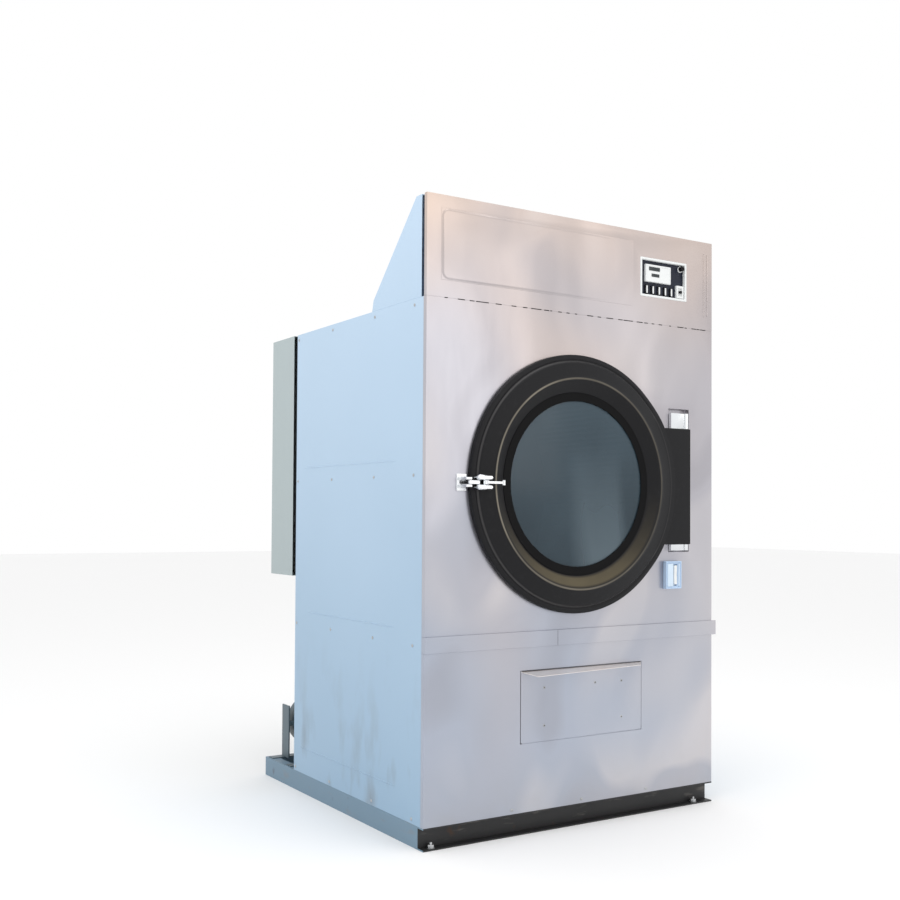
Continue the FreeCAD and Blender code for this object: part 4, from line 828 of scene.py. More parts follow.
@dataclass
class Finishes:
    """Every finish on the machine, made once."""

    # The enamels' high and low colours differ by painted shade, lighter at the top.
    side: Material = made(Paint("pale_blue_enamel", (0.52, 0.67, 0.83), (0.28, 0.42, 0.56)))
    base: Material = made(BasePaint("base_enamel"))
    sheet: Material = made(PolishedSheet("thin_stainless"))
    # The hatch lip's near-white colour is a painted highlight: the same sheet, lit from above.
    lip: Material = made(Metal(
        "lip_painted_highlight", (0.93, 0.88, 0.83), (0.74, 0.68, 0.64), 0.32, 120.0, (0.1, 1, 1), 0.00004))
    # A dark brown line along the fold of the hatch lip.
    stain: Material = made(Metal(
        "brown_fold_line", (0.10, 0.060, 0.035), (0.055, 0.032, 0.020), 0.5, 120.0, (0.1, 1, 1), 0.00002))
    cover: Material = made(Paint("grey_green_enamel", (0.42, 0.49, 0.50), (0.34, 0.40, 0.41)))
    primer: Material = made(Paint("dark_primer", (0.030, 0.032, 0.035), (0.022, 0.023, 0.025), gloss=0.5))
    zinc: Material = made(Zinc("galvanised_sheet"))
    ring: Material = made(DoorEnamel("charcoal_enamel", (-0.025, -0.7, 1.288), 0.345, 0.397))
    glass: Material = made(DoorGlass("slate_glass"))
    gasket: Material = made(Moulding(
        "silicone_gasket", (0.0035, 0.0035, 0.004), 0.5, worn=(0.02, 0.02, 0.02), shine=0.10))
    chrome: Material = made(Metal(
        "bright_chrome", (0.86, 0.88, 0.90), (0.62, 0.64, 0.67), 0.10, 220.0, (1, 1, 0.3), 0.00002))
    steel: Material = made(Metal("turned_steel", (0.52, 0.53, 0.54), (0.36, 0.37, 0.38), 0.28))
    iron: Material = made(Metal("cast_iron", (0.10, 0.10, 0.11), (0.06, 0.06, 0.065), 0.55, 160.0, (1, 1, 1), 0.0004))
    rubber: Material = made(Moulding("belt_rubber", (0.014, 0.014, 0.014), 0.7, 500.0, worn=(0.08, 0.08, 0.08)))
    motor: Material = made(Paint("motor_enamel", (0.12, 0.17, 0.20), (0.09, 0.13, 0.155), gloss=0.4))
    rod: Material = made(HeatTint("heating_rod"))
    cloth: Material = made(WireCloth("woven_wire"))
    felt: Material = made(Felt("wool_felt"))
    drum: Material = made(Perforated("perforated_drum"))
    satin: Material = made(Metal("satin_stainless", (0.58, 0.59, 0.60), (0.42, 0.43, 0.45), 0.30))
    plate: Material = made(Moulding(
        "black_panel", (0.012, 0.015, 0.028), 0.28, 900.0, worn=(0.04, 0.05, 0.075), wear=0.5, shine=0.25))
    white: Material = made(Moulding("white_moulding", (0.78, 0.80, 0.80), 0.32, worn=(0.62, 0.62, 0.60)))
    blue: Material = made(Moulding(
        "pale_blue_moulding", (0.47, 0.61, 0.80), 0.30, worn=(0.62, 0.72, 0.84), shine=0.3))
    beige: Material = made(Moulding("beige_moulding", (0.42, 0.33, 0.28), 0.35, worn=(0.30, 0.23, 0.20)))
    black: Material = made(Moulding(
        "black_moulding", (0.006, 0.006, 0.008), 0.3, worn=(0.04, 0.04, 0.045), shine=0.2))
    pale: Material = made(Moulding("pale_face", (0.62, 0.74, 0.86), 0.30, worn=(0.74, 0.80, 0.86), shine=0.3))
    display: Material = made(Display("dark_display"))

    def ease(self, widths: dict[str, float]) -> None:
        """Copy frame nodes with edges eased by these widths, each in its slot's finish."""
        slots = self.by_slot()
        for node, width in widths.items():
            dress(softened(node, width), slots[SLOT_OF[node]])

    def by_slot(self) -> dict[str, Material]:
        """The finish for each of the record's slots."""
        return {
            "base_paint": self.base, "frame_steel": self.primer, "side_paint": self.side,
            "front_steel": self.sheet, "galvanised": self.zinc, "cover_paint": self.cover,
            "drum_steel": self.satin, "cast_iron": self.iron, "shaft_steel": self.steel,
            "belt_rubber": self.rubber, "motor_paint": self.motor, "heater_steel": self.rod,
            "lint_mesh": self.cloth, "felt": self.felt, "door_black": self.ring, "door_glass": self.glass,
            "seal_rubber": self.gasket, "chrome": self.chrome, "black_plate": self.plate,
            "white_plastic": self.white, "blue_plastic": self.blue, "beige_plastic": self.beige,
            "black_plastic": self.black}


# ------------------------------------------------------------------ studio

@dataclass
class Studio:
    """Pale floor, white surround, soft lamps and the camera."""

    place: Point = (-2.7128, -4.0594, 1.1632)
    yaw: float = -32.219
    pitch: float = 1.3286
    roll: float = -0.3446
    lens: float = 45.17
    rise: float = 0.0444

    def surround(self) -> None:
        """White world, even on all sides."""
        world = bpy.data.worlds.new("surround")
        bpy.context.scene.world = world
        world.use_nodes = True
        back = world.node_tree.nodes["Background"]
        back.inputs["Color"].default_value = (1.0, 1.0, 1.0, 1.0)
        back.inputs["Strength"].default_value = 1.0
        bpy.context.scene.view_settings.view_transform = "Standard"

    def floor(self) -> None:
        """A wide plain floor with a pale finish."""
        reach = 30.0
        mesh = bpy.data.meshes.new("floor")
        corners = [(-reach, -reach, 0), (reach, -reach, 0), (reach, reach, 0), (-reach, reach, 0)]
        mesh.from_pydata(corners, [], [(0, 1, 2, 3)])
        slab = bpy.data.objects.new("floor", mesh)
        bpy.context.scene.collection.objects.link(slab)
        g = Graph("pale_floor")
        mesh.materials.append(g.finish(Base_Color=(0.93, 0.93, 0.93), Roughness=0.9, Specular_IOR_Level=0.1))

    def lamp(self, name: str, spot: Point, target: Point, size: tuple[float, float], power: float,
             tone: Colour = (1, 1, 1)) -> None:
        """A soft rectangular lamp that faces a target."""
        data = bpy.data.lights.new(name, "AREA")
        data.shape = "RECTANGLE"
        data.size, data.size_y = size
        data.energy = power
        data.color = tone
        lamp = bpy.data.objects.new(name, data)
        lamp.location = spot
        aim = mathutils.Vector(target) - mathutils.Vector(spot)
        lamp.rotation_euler = aim.to_track_quat("-Z", "Y").to_euler()
        bpy.context.scene.collection.objects.link(lamp)

    def camera(self) -> None:
        """The camera, turned by yaw, then pitch, then roll."""
        data = bpy.data.cameras.new("camera")
        data.sensor_width = 36.0
        data.lens = self.lens
        data.shift_y = self.rise
        data.clip_end = 100.0
        eye = bpy.data.objects.new("camera", data)
        turn = (mathutils.Matrix.Rotation(math.radians(self.yaw), 4, "Z")
                @ mathutils.Matrix.Rotation(math.radians(self.pitch), 4, "X")
                @ mathutils.Matrix.Rotation(math.radians(self.roll), 4, "Y")
                @ mathutils.Matrix.Rotation(math.radians(90), 4, "X"))
        eye.matrix_world = mathutils.Matrix.Translation(self.place) @ turn
        bpy.context.scene.collection.objects.link(eye)
        bpy.context.scene.camera = eye

    def build(self) -> None:
        """Put up the whole studio."""
        self.surround()
        self.floor()
        self.lamp("overhead", (-0.5, -1.5, 5.2), (0, 0, 1.2), (4.0, 3.0), 60.0)
        self.lamp("front_fill", (1.8, -5.5, 2.6), (0, -0.7, 1.2), (3.0, 2.5), 22.0, (1.0, 0.95, 0.9))
        self.lamp("side_fill", (-5.5, -0.5, 2.8), (-0.7, 0, 1.2), (3.0, 3.0), 16.0, (0.92, 0.96, 1.0))
        self.camera()


# ------------------------------------------------------------------ the machine

@dataclass
class Cabinet:
    """The box of the machine: base, side panels, front sheets, hood, roof and their small relief."""

    finishes: Finishes
    fold: float = 0.0014
    crease_half: float = 0.0030
    crease_rise: float = 0.0026
    bead_runs: tuple[Point, ...] = ((0.188, 0.173, 1.007), (0.760, 0.186, 0.929), (1.364, 0.181, 0.979))
    emboss_rise: float = 0.0030
    emboss_span: tuple[float, float] = (0.060, 0.952)
    emboss_levels: tuple[float, float] = (1.998, 2.255)
    emboss_corner: float = 0.030
    joint_place: float = -0.111
    upright_runs: tuple[Point, ...] = ((0.645, 1.990, 2.252), (0.663, 1.994, 2.250))

    def plain(self) -> None:
        """The folded sheets whose shape is the frame's own, with eased edges."""
        self.finishes.ease({
            "base_frame": 0.0025, "left_side_panel": self.fold, "right_side_panel": self.fold,
            "front_panel": self.fold, "lower_front_panel": self.fold, "trim_rail": self.fold,
            "control_fascia": self.fold, "hood_side_plates": self.fold, "hood_cover": 0.0005,
            "roof_panel": 0.0005, "cable_gland": 0.0010})

    def screws(self) -> None:
        """Pan heads with a cross recess, one where each screw sits.

        The head's height over its seat is its rise times the square root of one less the square of
        the radius, less a recess whose depth fades where the sine of twice the turn grows or where
        the radius passes two fifths.
        """
        heads = []
        for low, high in islands("panel_screws"):
            size = high - low
            thin = int(np.argmin(size))
            middle = (low + high) / 2
            sign = 1.0 if middle[thin] > 0 else -1.0
            axis = (Axis.X, Axis.Y, Axis.Z)[thin]
            radius = size[(thin + 1) % 3] / 2
            share = np.array([0.0, 0.15, 0.30, 0.40, 0.50, 0.70, 0.88, 0.97, 1.0, 1.0])[:, None]
            turn = np.linspace(0, math.tau, 24, endpoint=False)[None, :]
            dome = size[thin] * (0.25 + 0.75 * np.sqrt(np.clip(1 - share ** 2, 0, 1)))
            arm = np.clip(1 - np.abs(np.sin(2 * turn)) * 2.2, 0, 1) * smooth_step((0.48 - share) / 0.12)
            rise = dome - arm * size[thin] * 0.45
            rise[-1] = 0.0
            spread = radius * share
            points = axis.points(spread * np.cos(turn), spread * np.sin(turn), sign * rise)
            seat = middle.copy()
            seat[thin] -= sign * size[thin] / 2
            heads.append(lattice("head", points + seat, wrap_columns=True))
        whole = joined("screw_heads", heads)
        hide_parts("panel_screws")
        dress(whole, self.finishes.steel, "cabinet")

    def bead(self, name: str, side: float, height: float, front: float, back: float) -> Piece:
        """A long pressed crease on a side panel.

        Across its width the bead stands out by its rise times the square of the cosine, and it
        dies away over the last 30 mm at both ends.
        """
        along = np.linspace(front, back, 60)[:, None]
        across = np.linspace(-1, 1, 9)[None, :]
        ends = smooth_step(np.minimum(along - front, back - along) / 0.03)
        out = self.crease_rise * np.cos(across * math.pi / 2) ** 2 * ends - 0.0002
        level = height + self.crease_half * across + 0 * along
        points = np.stack([np.sign(side) * (abs(side) + out), along + 0 * across, level], -1)
        return lattice(name, points, crease=60.0)

    def beads(self) -> None:
        """Three creases on each side panel."""
        low, high = corners_of("left_side_panel")
        front = low[1]
        rows = []
        for side in (low[0], -low[0]):
            for height, start, end in self.bead_runs:
                rows.append(self.bead("bead", side, height, front + start, front + end))
        dress(joined("side_panel_beads", rows), self.finishes.side, "cabinet")

    def emboss(self) -> None:
        """A wide rounded field pressed out of the fascia.

        A point's distance inside the rounded rectangle goes through a smooth step over 10 mm and is
        multiplied by the rise, which dies away towards the right end.
        """
        low, high = corners_of("control_fascia")
        left, right = low[0] + self.emboss_span[0], low[0] + self.emboss_span[1]
        bottom, top = self.emboss_levels
        across = np.linspace(left, right, 260)[:, None]
        upward = np.linspace(bottom, top, 90)[None, :]
        corner = self.emboss_corner
        half = np.array([(right - left) / 2, (top - bottom) / 2])
        off_x = np.abs(across - (left + right) / 2) - (half[0] - corner)
        off_z = np.abs(upward - (bottom + top) / 2) - (half[1] - corner)
        outside = np.sqrt(np.maximum(off_x, 0) ** 2 + np.maximum(off_z, 0) ** 2)
        inside = corner - outside - np.minimum(np.maximum(off_x, off_z), 0)
        ridge = smooth_step(inside / 0.010)
        fade = 1 - smooth_step((across - (right - 0.36)) / 0.34)
        out = self.emboss_rise * ridge * fade - 0.0004
        points = np.stack([across + 0 * upward, low[1] - out, upward + 0 * across], -1)
        dress(lattice("fascia_pressing", points, crease=70.0), self.finishes.sheet, "cabinet")

    def seam(self) -> None:
        """Painted shade in the joint between fascia and front sheet: short dark blocks of differing length standing for
        its shaded gaps.
        """
        low, high = corners_of("control_fascia")
        seeds = np.random.default_rng(7)
        starts = low[0] + 0.03 + np.cumsum(seeds.uniform(0.018, 0.060, 40))
        lengths = seeds.uniform(0.006, 0.034, 40)
        rows = [block("gap", (start, low[1] - 0.0004, low[2] - 0.0018),
                      (start + length, low[1] + 0.002, low[2] + 0.0010), Axis.Y, 0.0008, 0.0002, 2)
                for start, length in zip(starts, lengths) if start + length < high[0] - 0.03]
        dress(joined("fascia_gap_shade", rows), self.finishes.gasket, "cabinet")

    def trim_joint(self) -> None:
        """The dark joint where two lengths of trim meet."""
        low, high = corners_of("trim_rail")
        joint = block("trim_joint", (self.joint_place - 0.0006, low[1] - 0.0003, low[2] + 0.001),
                      (self.joint_place + 0.0006, low[1] + 0.001, high[2] - 0.001), Axis.Y, 0.0004, 0.0002, 2)
        dress(joint, self.finishes.gasket, "cabinet")

    def fascia_uprights(self) -> None:
        """Two upright pressings near the fascia's right end.

        Across its width each stands out by its rise times the square of the cosine, and it dies
        away over the last 20 mm at both ends.
        """
        front = corners_of("control_fascia")[0][1]
        rows = []
        for x, bottom, top in self.upright_runs:
            along = np.linspace(bottom, top, 50)[:, None]
            across = np.linspace(-1, 1, 9)[None, :]
            ends = smooth_step(np.minimum(along - bottom, top - along) / 0.02)
            out = 0.0016 * np.cos(across * math.pi / 2) ** 2 * ends - 0.0003
            points = np.stack([x + 0.0035 * across + 0 * along, front - out, along + 0 * across], -1)
            rows.append(lattice("pressing", points, crease=60.0))
        dress(joined("fascia_upright_pressings", rows), self.finishes.sheet, "cabinet")

    def anchor_heads(self) -> None:
        """Hexagon bolts in the front channel's bottom flange, one near each end.

        The head is a turned profile of six sides over a washer of forty.
        """
        low, high = corners_of("base_frame")
        rows = []
        for x in (low[0] + 0.044, high[0] - 0.084):
            centre = (x, low[1] + 0.020, 0.0)
            washer = np.array([(0.0, 0.0045), (0.0150, 0.0045), (0.0150, 0.0075), (0.0, 0.0075)])
            head = np.array([(0.0, 0.0070), (0.0110, 0.0070), (0.0115, 0.0150), (0.0105, 0.0165), (0.0, 0.0165)])
            stud = np.array([(0.0, 0.0160), (0.0048, 0.0160), (0.0048, 0.0240), (0.0040, 0.0250), (0.0, 0.0250)])
            for profile, sides in ((washer, 40), (head, 6), (stud, 20)):
                rows.append(turned("bolt", centre, Axis.Z, profile, sides))
        dress(joined("front_channel_bolts", rows), self.finishes.steel, "cabinet")

    def build(self) -> None:
        """Build and dress everything on the cabinet."""
        self.plain()
        self.screws()
        self.beads()
        self.emboss()
        self.seam()
        self.trim_joint()
        self.fascia_uprights()
        self.anchor_heads()


@dataclass
class Door:
    """The round door: ring, funnel, glass, gaskets, hinges, latch and their trims."""

    finishes: Finishes
    centre: tuple[float, float] = (-0.025, 1.288)
    cheek_corner: float = 0.0085
    cheek_rim: float = 0.0045
    slot_half: float = 0.0075
    edge: float = 0.489
    groove: float = 0.465
    crest: float = 0.397
    foot: float = 0.345
    sight: float = 0.317
    wall: float = 0.004
    sunk_from: float = 0.50
    sunk_over: float = 0.32
    flange_half: float = 0.232
    flange_start: float = 0.452
    flange_front: float = -0.7135
    flange_back: float = -0.6945
    flange_lip: float = 0.004
    dome: float = 0.35

    def ring(self) -> None:
        """The pressed ring, turned about the door's axis, with its hinge flange.

        Its front profile runs over the rim, down a groove, along a flat band, over the ridge and
        down the funnel. On the hinge side the rim and the groove give way to the flat band, by
        one less a smooth step of the turn's distance from the hinge. The back profile follows
        about one wall behind.
        """
        low, high = corners_of("door_ring")
        face = high[1] + 0.002
        edge, groove, crest = self.edge, self.groove, self.crest
        foot, sight, wall = self.foot, self.sight, self.wall
        front = rounded([(edge, face - 0.002), (edge, face - 0.0200),
                         (groove + 0.007, face - 0.0240), (groove + 0.001, face - 0.0195),
                         (groove - 0.007, face - 0.0290), (crest + 0.009, face - 0.0430),
                         (crest + 0.001, face - 0.0470), (crest - 0.009, face - 0.0425),
                         (foot + 0.002, face - 0.0170), (foot - 0.001, face - 0.0150),
                         (sight, face - 0.0150)], 0.0045, 6)
        back = rounded([(sight, face - 0.0130), (foot + 0.002, face - 0.0130), (foot + 0.002, face - 0.002),
                        (foot + 0.002 + wall, face - 0.002), (foot + 0.002 + wall, face - 0.0150),
                        (crest - 0.008, face - 0.0350), (crest + 0.006, face - 0.0400), (groove - 0.006, face - 0.0240),
                        (edge - wall, face - 0.0140), (edge - wall, face - 0.002)], 0.002, 2)
        profile = np.vstack([front, back])
        turn = np.linspace(0, math.tau, 288, endpoint=False)[None, :]
        off_hinge = np.abs((turn + math.pi) % math.tau - math.pi)
        sunk = 1 - smooth_step((off_hinge - self.sunk_from) / self.sunk_over)
        radius = profile[:, :1] + 0 * turn
        depth = profile[:, 1:] + 0 * turn
        level = face - 0.0290
        on_front = (np.arange(len(profile)) < len(front))[:, None]
        on_rim = on_front & (radius > groove - 0.010) & (radius < edge - 0.0005)
        flat = np.minimum(level + (radius - groove) * 0.10, depth)
        depth = np.where(on_rim, depth + (flat - depth) * sunk, depth)
        points = np.stack([self.centre[0] + radius * np.cos(turn), depth,
                           self.centre[1] + radius * np.sin(turn)], -1)
        rim = lattice("ring_body", points, wrap_rows=True, wrap_columns=True, crease=50.0)
        whole = joined("fine_door_ring", [rim, self.flange(high[0])])
        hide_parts("door_ring")
        dress(whole, self.finishes.ring, BODY_OF["door_ring"])

    def flange(self, hinge: float) -> Piece:
        """The hinge flange: a plate with a rounded outer edge that meets the band beside the funnel.

        Every level of it starts on the ring's flat band, where the square root of radius squared
        less height squared puts it, and ends at the hinge edge.

        Args:
            hinge: where its outer edge lies, across the machine.

        Returns:
            The flange, to be joined to the ring.
        """
        upward = np.linspace(-self.flange_half, self.flange_half, 60)
        ends = np.full(60, hinge)
        starts = self.centre[0] + np.sqrt(self.flange_start ** 2 - upward ** 2)
        front_y, back_y = self.flange_front, self.flange_back
        section = rounded([(0.0, back_y), (0.0, front_y), (1.0, front_y), (1.0, back_y)], self.flange_lip, 5)[1:-1]
        section = np.vstack([[(0.0, back_y)], [(0.0, front_y)], section[section[:, 0] > 0.5], [(1.0, back_y)]])
        share = np.clip(section[:, 0], 0, 1)[:, None]
        across = starts[None, :] + share * 0 + (ends - starts)[None, :] * np.where(share >= 0.5, 1.0, 0.0)
        across -= np.where(share >= 0.5, (1.0 - share), 0.0)
        depth = section[:, 1:] + 0 * upward[None, :]
        height = self.centre[1] + upward[None, :] + 0 * share
        points = np.stack([across, depth, height], -1)
        caps = np.concatenate([points.mean(0, keepdims=True)[:, :1], points.mean(0, keepdims=True)[:, -1:]], 1)
        first = np.repeat(caps[:, :1], len(points), 0)
        last = np.repeat(caps[:, 1:], len(points), 0)
        return lattice("ring_flange", np.concatenate([first, points, last], 1), wrap_rows=True, crease=40.0)

    def glass(self) -> None:
        """A toughened pane, slightly domed in front and flat behind.

        From its middle the front falls back by the thickness times the dome share times the
        square of the radius share.
        """
        low, high = corners_of("door_glass")
        radius = (high[0] - low[0]) / 2
        share = np.linspace(0, 1, 26)
        thick = high[1] - low[1]
        front = low[1] + thick * self.dome * share ** 2
        back = np.full(26, high[1])
        profile = np.vstack([np.stack([radius * share, front], 1), np.stack([radius * share, back], 1)[::-1]])
        pane = turned("fine_door_glass", (self.centre[0], 0.0, self.centre[1]), Axis.Y, profile, 128)
        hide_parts("door_glass")
        dress(pane, self.finishes.glass, BODY_OF["door_glass"])

    def fittings(self) -> None:
        """Gaskets, hinges and the latch."""
        for node, width, segments, finish in (
                ("door_seals", 0.0012, 2, self.finishes.gasket), ("hinge_brackets", 0.0025, 3, self.finishes.chrome),
                ("hinge_pins", 0.0008, 2, self.finishes.chrome), ("latch_keeper", 0.0025, 3, self.finishes.chrome),
                ("latch_lever", 0.0040, 4, self.finishes.chrome),
                ("latch_bolt", 0.0015, 3, self.finishes.chrome)):
            dress(softened(node, width, segments), finish)

    def latch_case(self) -> None:
        """The latch body: two faceted cheeks above and below the lever, and the core behind them.

        Each cheek is a block whose outline corners and rims are cut by single flats, like a nut.
        """
        low, high = corners_of("latch_body")
        level = (low[2] + high[2]) / 2
        rows = []
        for bottom, top in ((low[2], level - self.slot_half), (level + self.slot_half, high[2])):
            rows.append(block("cheek", (low[0] + 0.004, low[1], bottom), (high[0] - 0.002, high[1] - 0.004, top),
                              Axis.Y, self.cheek_corner, self.cheek_rim, 1))
        rows.append(block("core", (low[0] + 0.047, low[1] + 0.023, low[2] + 0.006),
                          (high[0] - 0.006, high[1] - 0.004, high[2] - 0.006), Axis.Y, 0.004, 0.002, 2))
        case = joined("fine_latch_body", rows)
        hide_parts("latch_body")
        dress(case, self.finishes.chrome, BODY_OF["latch_body"])

    def build(self) -> None:
        """Build and dress the door."""
        self.latch_case()
        self.ring()
        self.glass()
        self.fittings()


@dataclass
class Controls:
    """The control window, its modules and switches, and the door switch beside the door."""

    finishes: Finishes
    panes: tuple[tuple[float, ...], ...] = ((0.345, 0.404, 2.1490, 2.1645), (0.359, 0.401, 2.1250, 2.1380))
    surround: tuple[float, ...] = (0.3295, 0.4615, 2.1055, 2.1725)
    surround_wide: float = 0.005

    def carried(self) -> None:
        """Mouldings whose shape is the frame's own, with eased edges."""
        for node, width, segments in (
                ("control_window_rim", 0.0030, 3), ("control_plate", 0.0008, 2), ("control_modules", 0.0020, 3),
                ("door_switch_housing", 0.0030, 4), ("door_switch_rocker", 0.0020, 3), ("breaker_toggle", 0.0012, 3),
                ("selector_knob", 0.0012, 3), *((f"rocker_switch_{number}", 0.0014, 3) for number in range(1, 6))):
            piece = softened(node, width, segments)
            slot = "black_plastic" if node.startswith("rocker_switch") else SLOT_OF[node]
            dress(piece, self.finishes.by_slot()[slot])

    def displays(self) -> None:
        """Two dark displays and a raised frame on the controller."""
        low, high = corners_of("control_modules")
        front = low[1]
        rows = [block("display", (x0, front - 0.0006, z0), (x1, front + 0.0004, z1), Axis.Y, 0.0015, 0.0003, 3)
                for x0, x1, z0, z1 in self.panes]
        dress(joined("controller_displays", rows), self.finishes.display, "cabinet")
        frame_rows = []
        outer, wide = self.surround, self.surround_wide
        inner = (outer[0] + wide, outer[1] - wide, outer[2] + wide, outer[3] - wide)
        for x0, x1, z0, z1 in ((outer[0], inner[0], outer[2], outer[3]), (inner[1], outer[1], outer[2], outer[3]),
                               (inner[0], inner[1], outer[2], inner[2]), (inner[0], inner[1], inner[3], outer[3])):
            frame_rows.append(block("frame", (x0, front - 0.0012, z0), (x1, front + 0.0004, z1),
                                    Axis.Y, 0.0008, 0.0006, 3))
        dress(joined("controller_frame", frame_rows), self.finishes.white, "cabinet")

    def rocker_bars(self) -> None:
        """A white bar down the middle of each dark rocker."""
        for index in range(5):
            low, high = corners_of(f"rocker_switch_{index + 1}")
            middle = (low[0] + high[0]) / 2
            bar = block(f"rocker_bar_{index + 1}", (middle - 0.0035, low[1] - 0.0006, low[2] + 0.003),
                        (middle + 0.0035, low[1] + 0.0030, high[2] - 0.003), Axis.Y, 0.0012, 0.0008, 3)
            dress(bar, self.finishes.white, f"rocker_{index + 1}")

    def knob_ring(self) -> None:
        """A white ring on the plate round the selector."""
        low, high = corners_of("selector_knob")
        centre = (low[0] + high[0]) / 2, (low[2] + high[2]) / 2
        plate = corners_of("control_plate")[0][1]
        profile = rounded([(0.0096, plate + 0.0003), (0.0096, plate - 0.0030),
                           (0.0132, plate - 0.0030), (0.0132, plate + 0.0003)], 0.001, 3)
        ring = turned("selector_ring", (centre[0], 0.0, centre[1]), Axis.Y, profile, 48, loop=True)
        dress(ring, self.finishes.white, "cabinet")

    def switch_face(self) -> None:
        """A pale face plate inside the door switch's frame, with a raised edge each side of its slot."""
        low, high = corners_of("door_switch_housing")
        slot = corners_of("door_switch_rocker")
        rows = []
        for x0, x1 in ((low[0] + 0.009, slot[0][0] - 0.006), (slot[1][0] + 0.006, high[0] - 0.009)):
            rows.append(block("face", (x0, low[1] + 0.0020, low[2] + 0.009), (x1, low[1] + 0.0052, high[2] - 0.009),
                              Axis.Y, 0.0020, 0.0012, 3))
        dress(joined("door_switch_face", rows), self.finishes.pale, "cabinet")

    def build(self) -> None:
        """Build and dress the controls."""
        self.carried()
        self.displays()
        self.rocker_bars()
        self.knob_ring()
        self.switch_face()


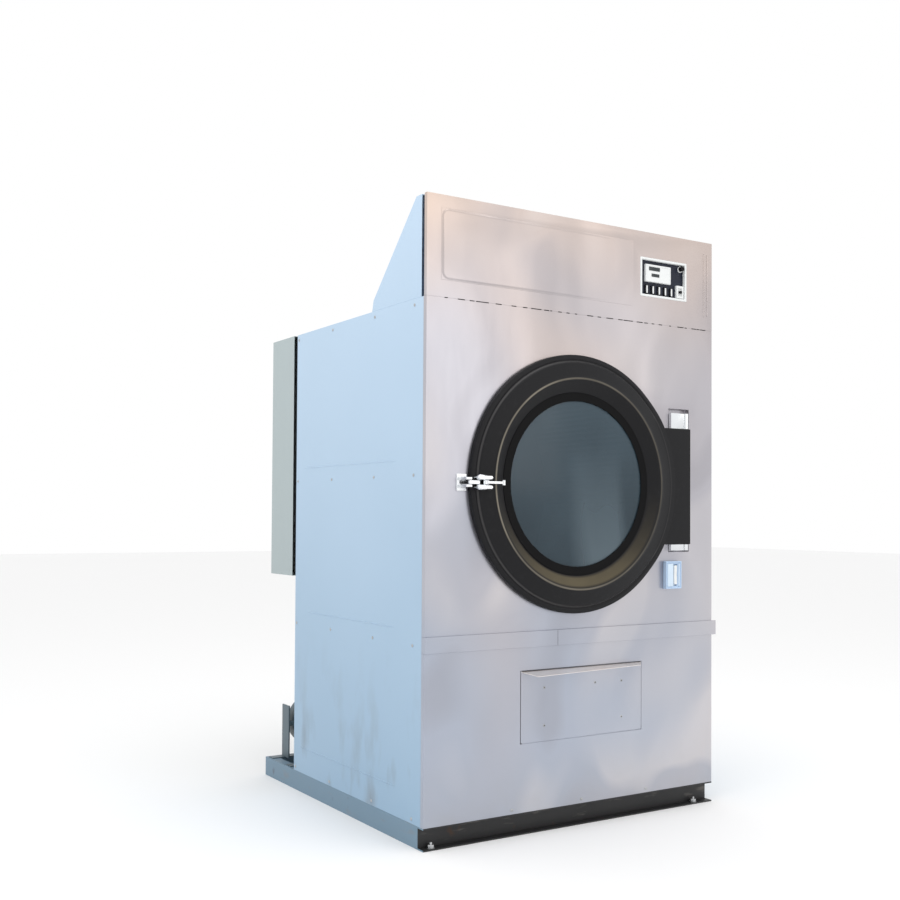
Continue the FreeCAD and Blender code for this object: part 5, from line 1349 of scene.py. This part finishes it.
@dataclass
class Hatch:
    """The lint hatch in the lower front: face, sloping pull lip and its fold line, rivets and the rebate."""

    finishes: Finishes
    drop: float = 0.013
    thick: float = 0.0016
    crease_wide: float = 0.0032
    level_share: float = 0.85
    inset_left: float = 0.035
    inset_right: float = 0.054
    rivet_places: tuple[tuple[float, float], ...] = (
        (-0.169, 0.529), (0.205, 0.529), (-0.169, 0.389), (0.205, 0.389), (0.073, 0.531))

    def face(self) -> None:
        """The hatch's folded sheet, with its flat lip swapped for one that falls towards its front edge.

        The lip is a grid whose depth share runs from 0 at the face to 1 at the front edge: its ends
        move in with the share, and its height falls by the drop times the share, times one less
        the level share of the run from left to right. A dark line follows its fold.
        """
        piece = softened("lint_hatch", 0.0, name="fine_lint_hatch")
        low, high = corners_of("lint_hatch")
        face = corners_of("lower_front_panel")[0][1]
        shape = bmesh.new()
        shape.from_mesh(piece.data)
        ahead = [one for one in shape.faces if min(corner.co.y for corner in one.verts) < face - 0.002]
        bmesh.ops.delete(shape, geom=ahead, context="FACES")
        rim = [edge for edge in shape.edges if edge.is_boundary]
        bmesh.ops.holes_fill(shape, edges=rim)
        shape.to_mesh(piece.data)
        shape.free()
        sharpen(piece.data, 30.0)
        dress(piece, self.finishes.sheet)
        share = np.linspace(0, 1, 14)[:, None]
        run = np.linspace(0, 1, 80)[None, :]
        left = low[0] + self.inset_left * share
        right = high[0] - self.inset_right * share
        depth = face - (face - low[1]) * share
        fall = high[2] - 0.0012 - self.drop * share * (1 - self.level_share * run)
        top = np.stack([left + (right - left) * run, depth + 0 * run, fall], -1)
        under = top[::-1] - np.array([0.0, 0.0, self.thick])
        whole = np.concatenate([top, under], 0)
        ends = np.concatenate([np.repeat(whole[:, :1].mean(0, keepdims=True), len(whole), 0), whole,
                               np.repeat(whole[:, -1:].mean(0, keepdims=True), len(whole), 0)], 1)
        lip = lattice("hatch_pull_lip", ends, wrap_rows=True, crease=40.0)
        # The lip's finish is a painted highlight.
        dress(lip, self.finishes.lip, "lint_hatch")
        crease = block("hatch_lip_crease", (low[0] + 0.004, face - self.crease_wide, high[2] - 0.0013),
                       (high[0] - 0.004, face - 0.0005, high[2] - 0.0005), Axis.X, 0.0003, 0.0003, 2)
        dress(crease, self.finishes.stain, "lint_hatch")

    def rivets(self) -> None:
        """Five blind rivets that hold the lining, with a black disc as painted shade in each hollow middle.

        Each head is a turned profile: a shallow dome with a hollow of a third of its radius.
        """
        face = corners_of("lower_front_panel")[0][1]
        heads, hollow_shades = [], []
        head = np.array([(0.0021, -0.0004), (0.0024, -0.0013), (0.0036, -0.0014),
                         (0.0050, -0.0008), (0.0056, 0.0002), (0.0021, 0.0002)])
        well = np.array([(0.0, -0.0004), (0.0024, -0.0005), (0.0024, 0.0001), (0.0, 0.0001)])
        for x, z in self.rivet_places:
            heads.append(turned("head", (x, face, z), Axis.Y, head, 28, loop=True))
            hollow_shades.append(turned("well", (x, face, z), Axis.Y, well, 20))
        dress(joined("hatch_rivets", heads), self.finishes.steel, "lint_hatch")
        dress(joined("hatch_rivet_hollow_shade", hollow_shades), self.finishes.gasket, "lint_hatch")

    def rebate(self) -> None:
        """Turned-in sheet behind the gap on the right and below."""
        low, high = corners_of("lint_hatch")
        face = corners_of("lower_front_panel")[0][1]
        back, front = face + 0.0036, face + 0.0024
        strips = [
            block("strip", (high[0] - 0.002, front, low[2] + 0.012), (high[0] + 0.007, back, high[2] - 0.004),
                  Axis.Y, 0.001, 0.0004, 2),
            block("strip", (low[0] + 0.006, front, low[2] - 0.008), (high[0] + 0.007, back, low[2] - 0.0004),
                  Axis.Y, 0.001, 0.0004, 2)]
        dress(joined("hatch_rebate", strips), self.finishes.sheet, "cabinet")

    def build(self) -> None:
        """Build and dress the hatch."""
        self.face()
        self.rivets()
        self.rebate()


@dataclass
class RearDrive:
    """The rear sheets, the drive cover and what turns behind it."""

    finishes: Finishes

    def build(self) -> None:
        """Build and dress the rear."""
        self.finishes.ease({
            "rear_panel": 0.0005, "drive_cover_frame": 0.0010, "rear_drive_cover": 0.0020, "bearing_beam": 0.0020,
            "bearing_housings": 0.0030, "drive_belts": 0.0008, "drive_motor": 0.0020, "drum_pulley": 0.0010,
            "jackshaft": 0.0010, "motor_pulley": 0.0010, "cabinet_frame": 0.0015})


@dataclass
class Airway:
    """Heater, casing, duct, screen, fan and spigot."""

    finishes: Finishes

    def build(self) -> None:
        """Build and dress the way the air takes."""
        self.finishes.ease({
            "drum_casing": 0.0004, "door_mouth_collar": 0.0005, "drum_felt_seal": 0.0005, "heater_frame": 0.0005,
            "heater_elements": 0.0, "lint_duct": 0.0005, "lint_screen": 0.0003, "fan_scroll": 0.0005,
            "exhaust_spigot": 0.0004, "fan_impeller": 0.0005, "fan_motor": 0.0020})


@dataclass
class Drum:
    """The turning drum: perforated shell, back plate, lifters and spider."""

    finishes: Finishes

    def shell(self) -> None:
        """The drum's rolled sheet with softened edges, in the perforated finish."""
        dress(softened("drum_shell", 0.0005), self.finishes.drum)

    def build(self) -> None:
        """Build and dress the drum."""
        self.shell()
        self.finishes.ease(dict.fromkeys(("drum_back_plate", "drum_lifters", "drum_spider"), 0.0010))


def main() -> None:
    """Build the machine piece by piece, then the studio."""
    logging.basicConfig(level=logging.INFO, format="%(name)s: %(message)s")
    finishes = Finishes()
    for assembly in (Cabinet(finishes), Door(finishes), Controls(finishes), Hatch(finishes), RearDrive(finishes),
                     Airway(finishes), Drum(finishes)):
        log.info("building %s", type(assembly).__name__)
        assembly.build()
    Studio().build()
    bpy.context.view_layer.update()


if __name__ == "__main__":
    main()
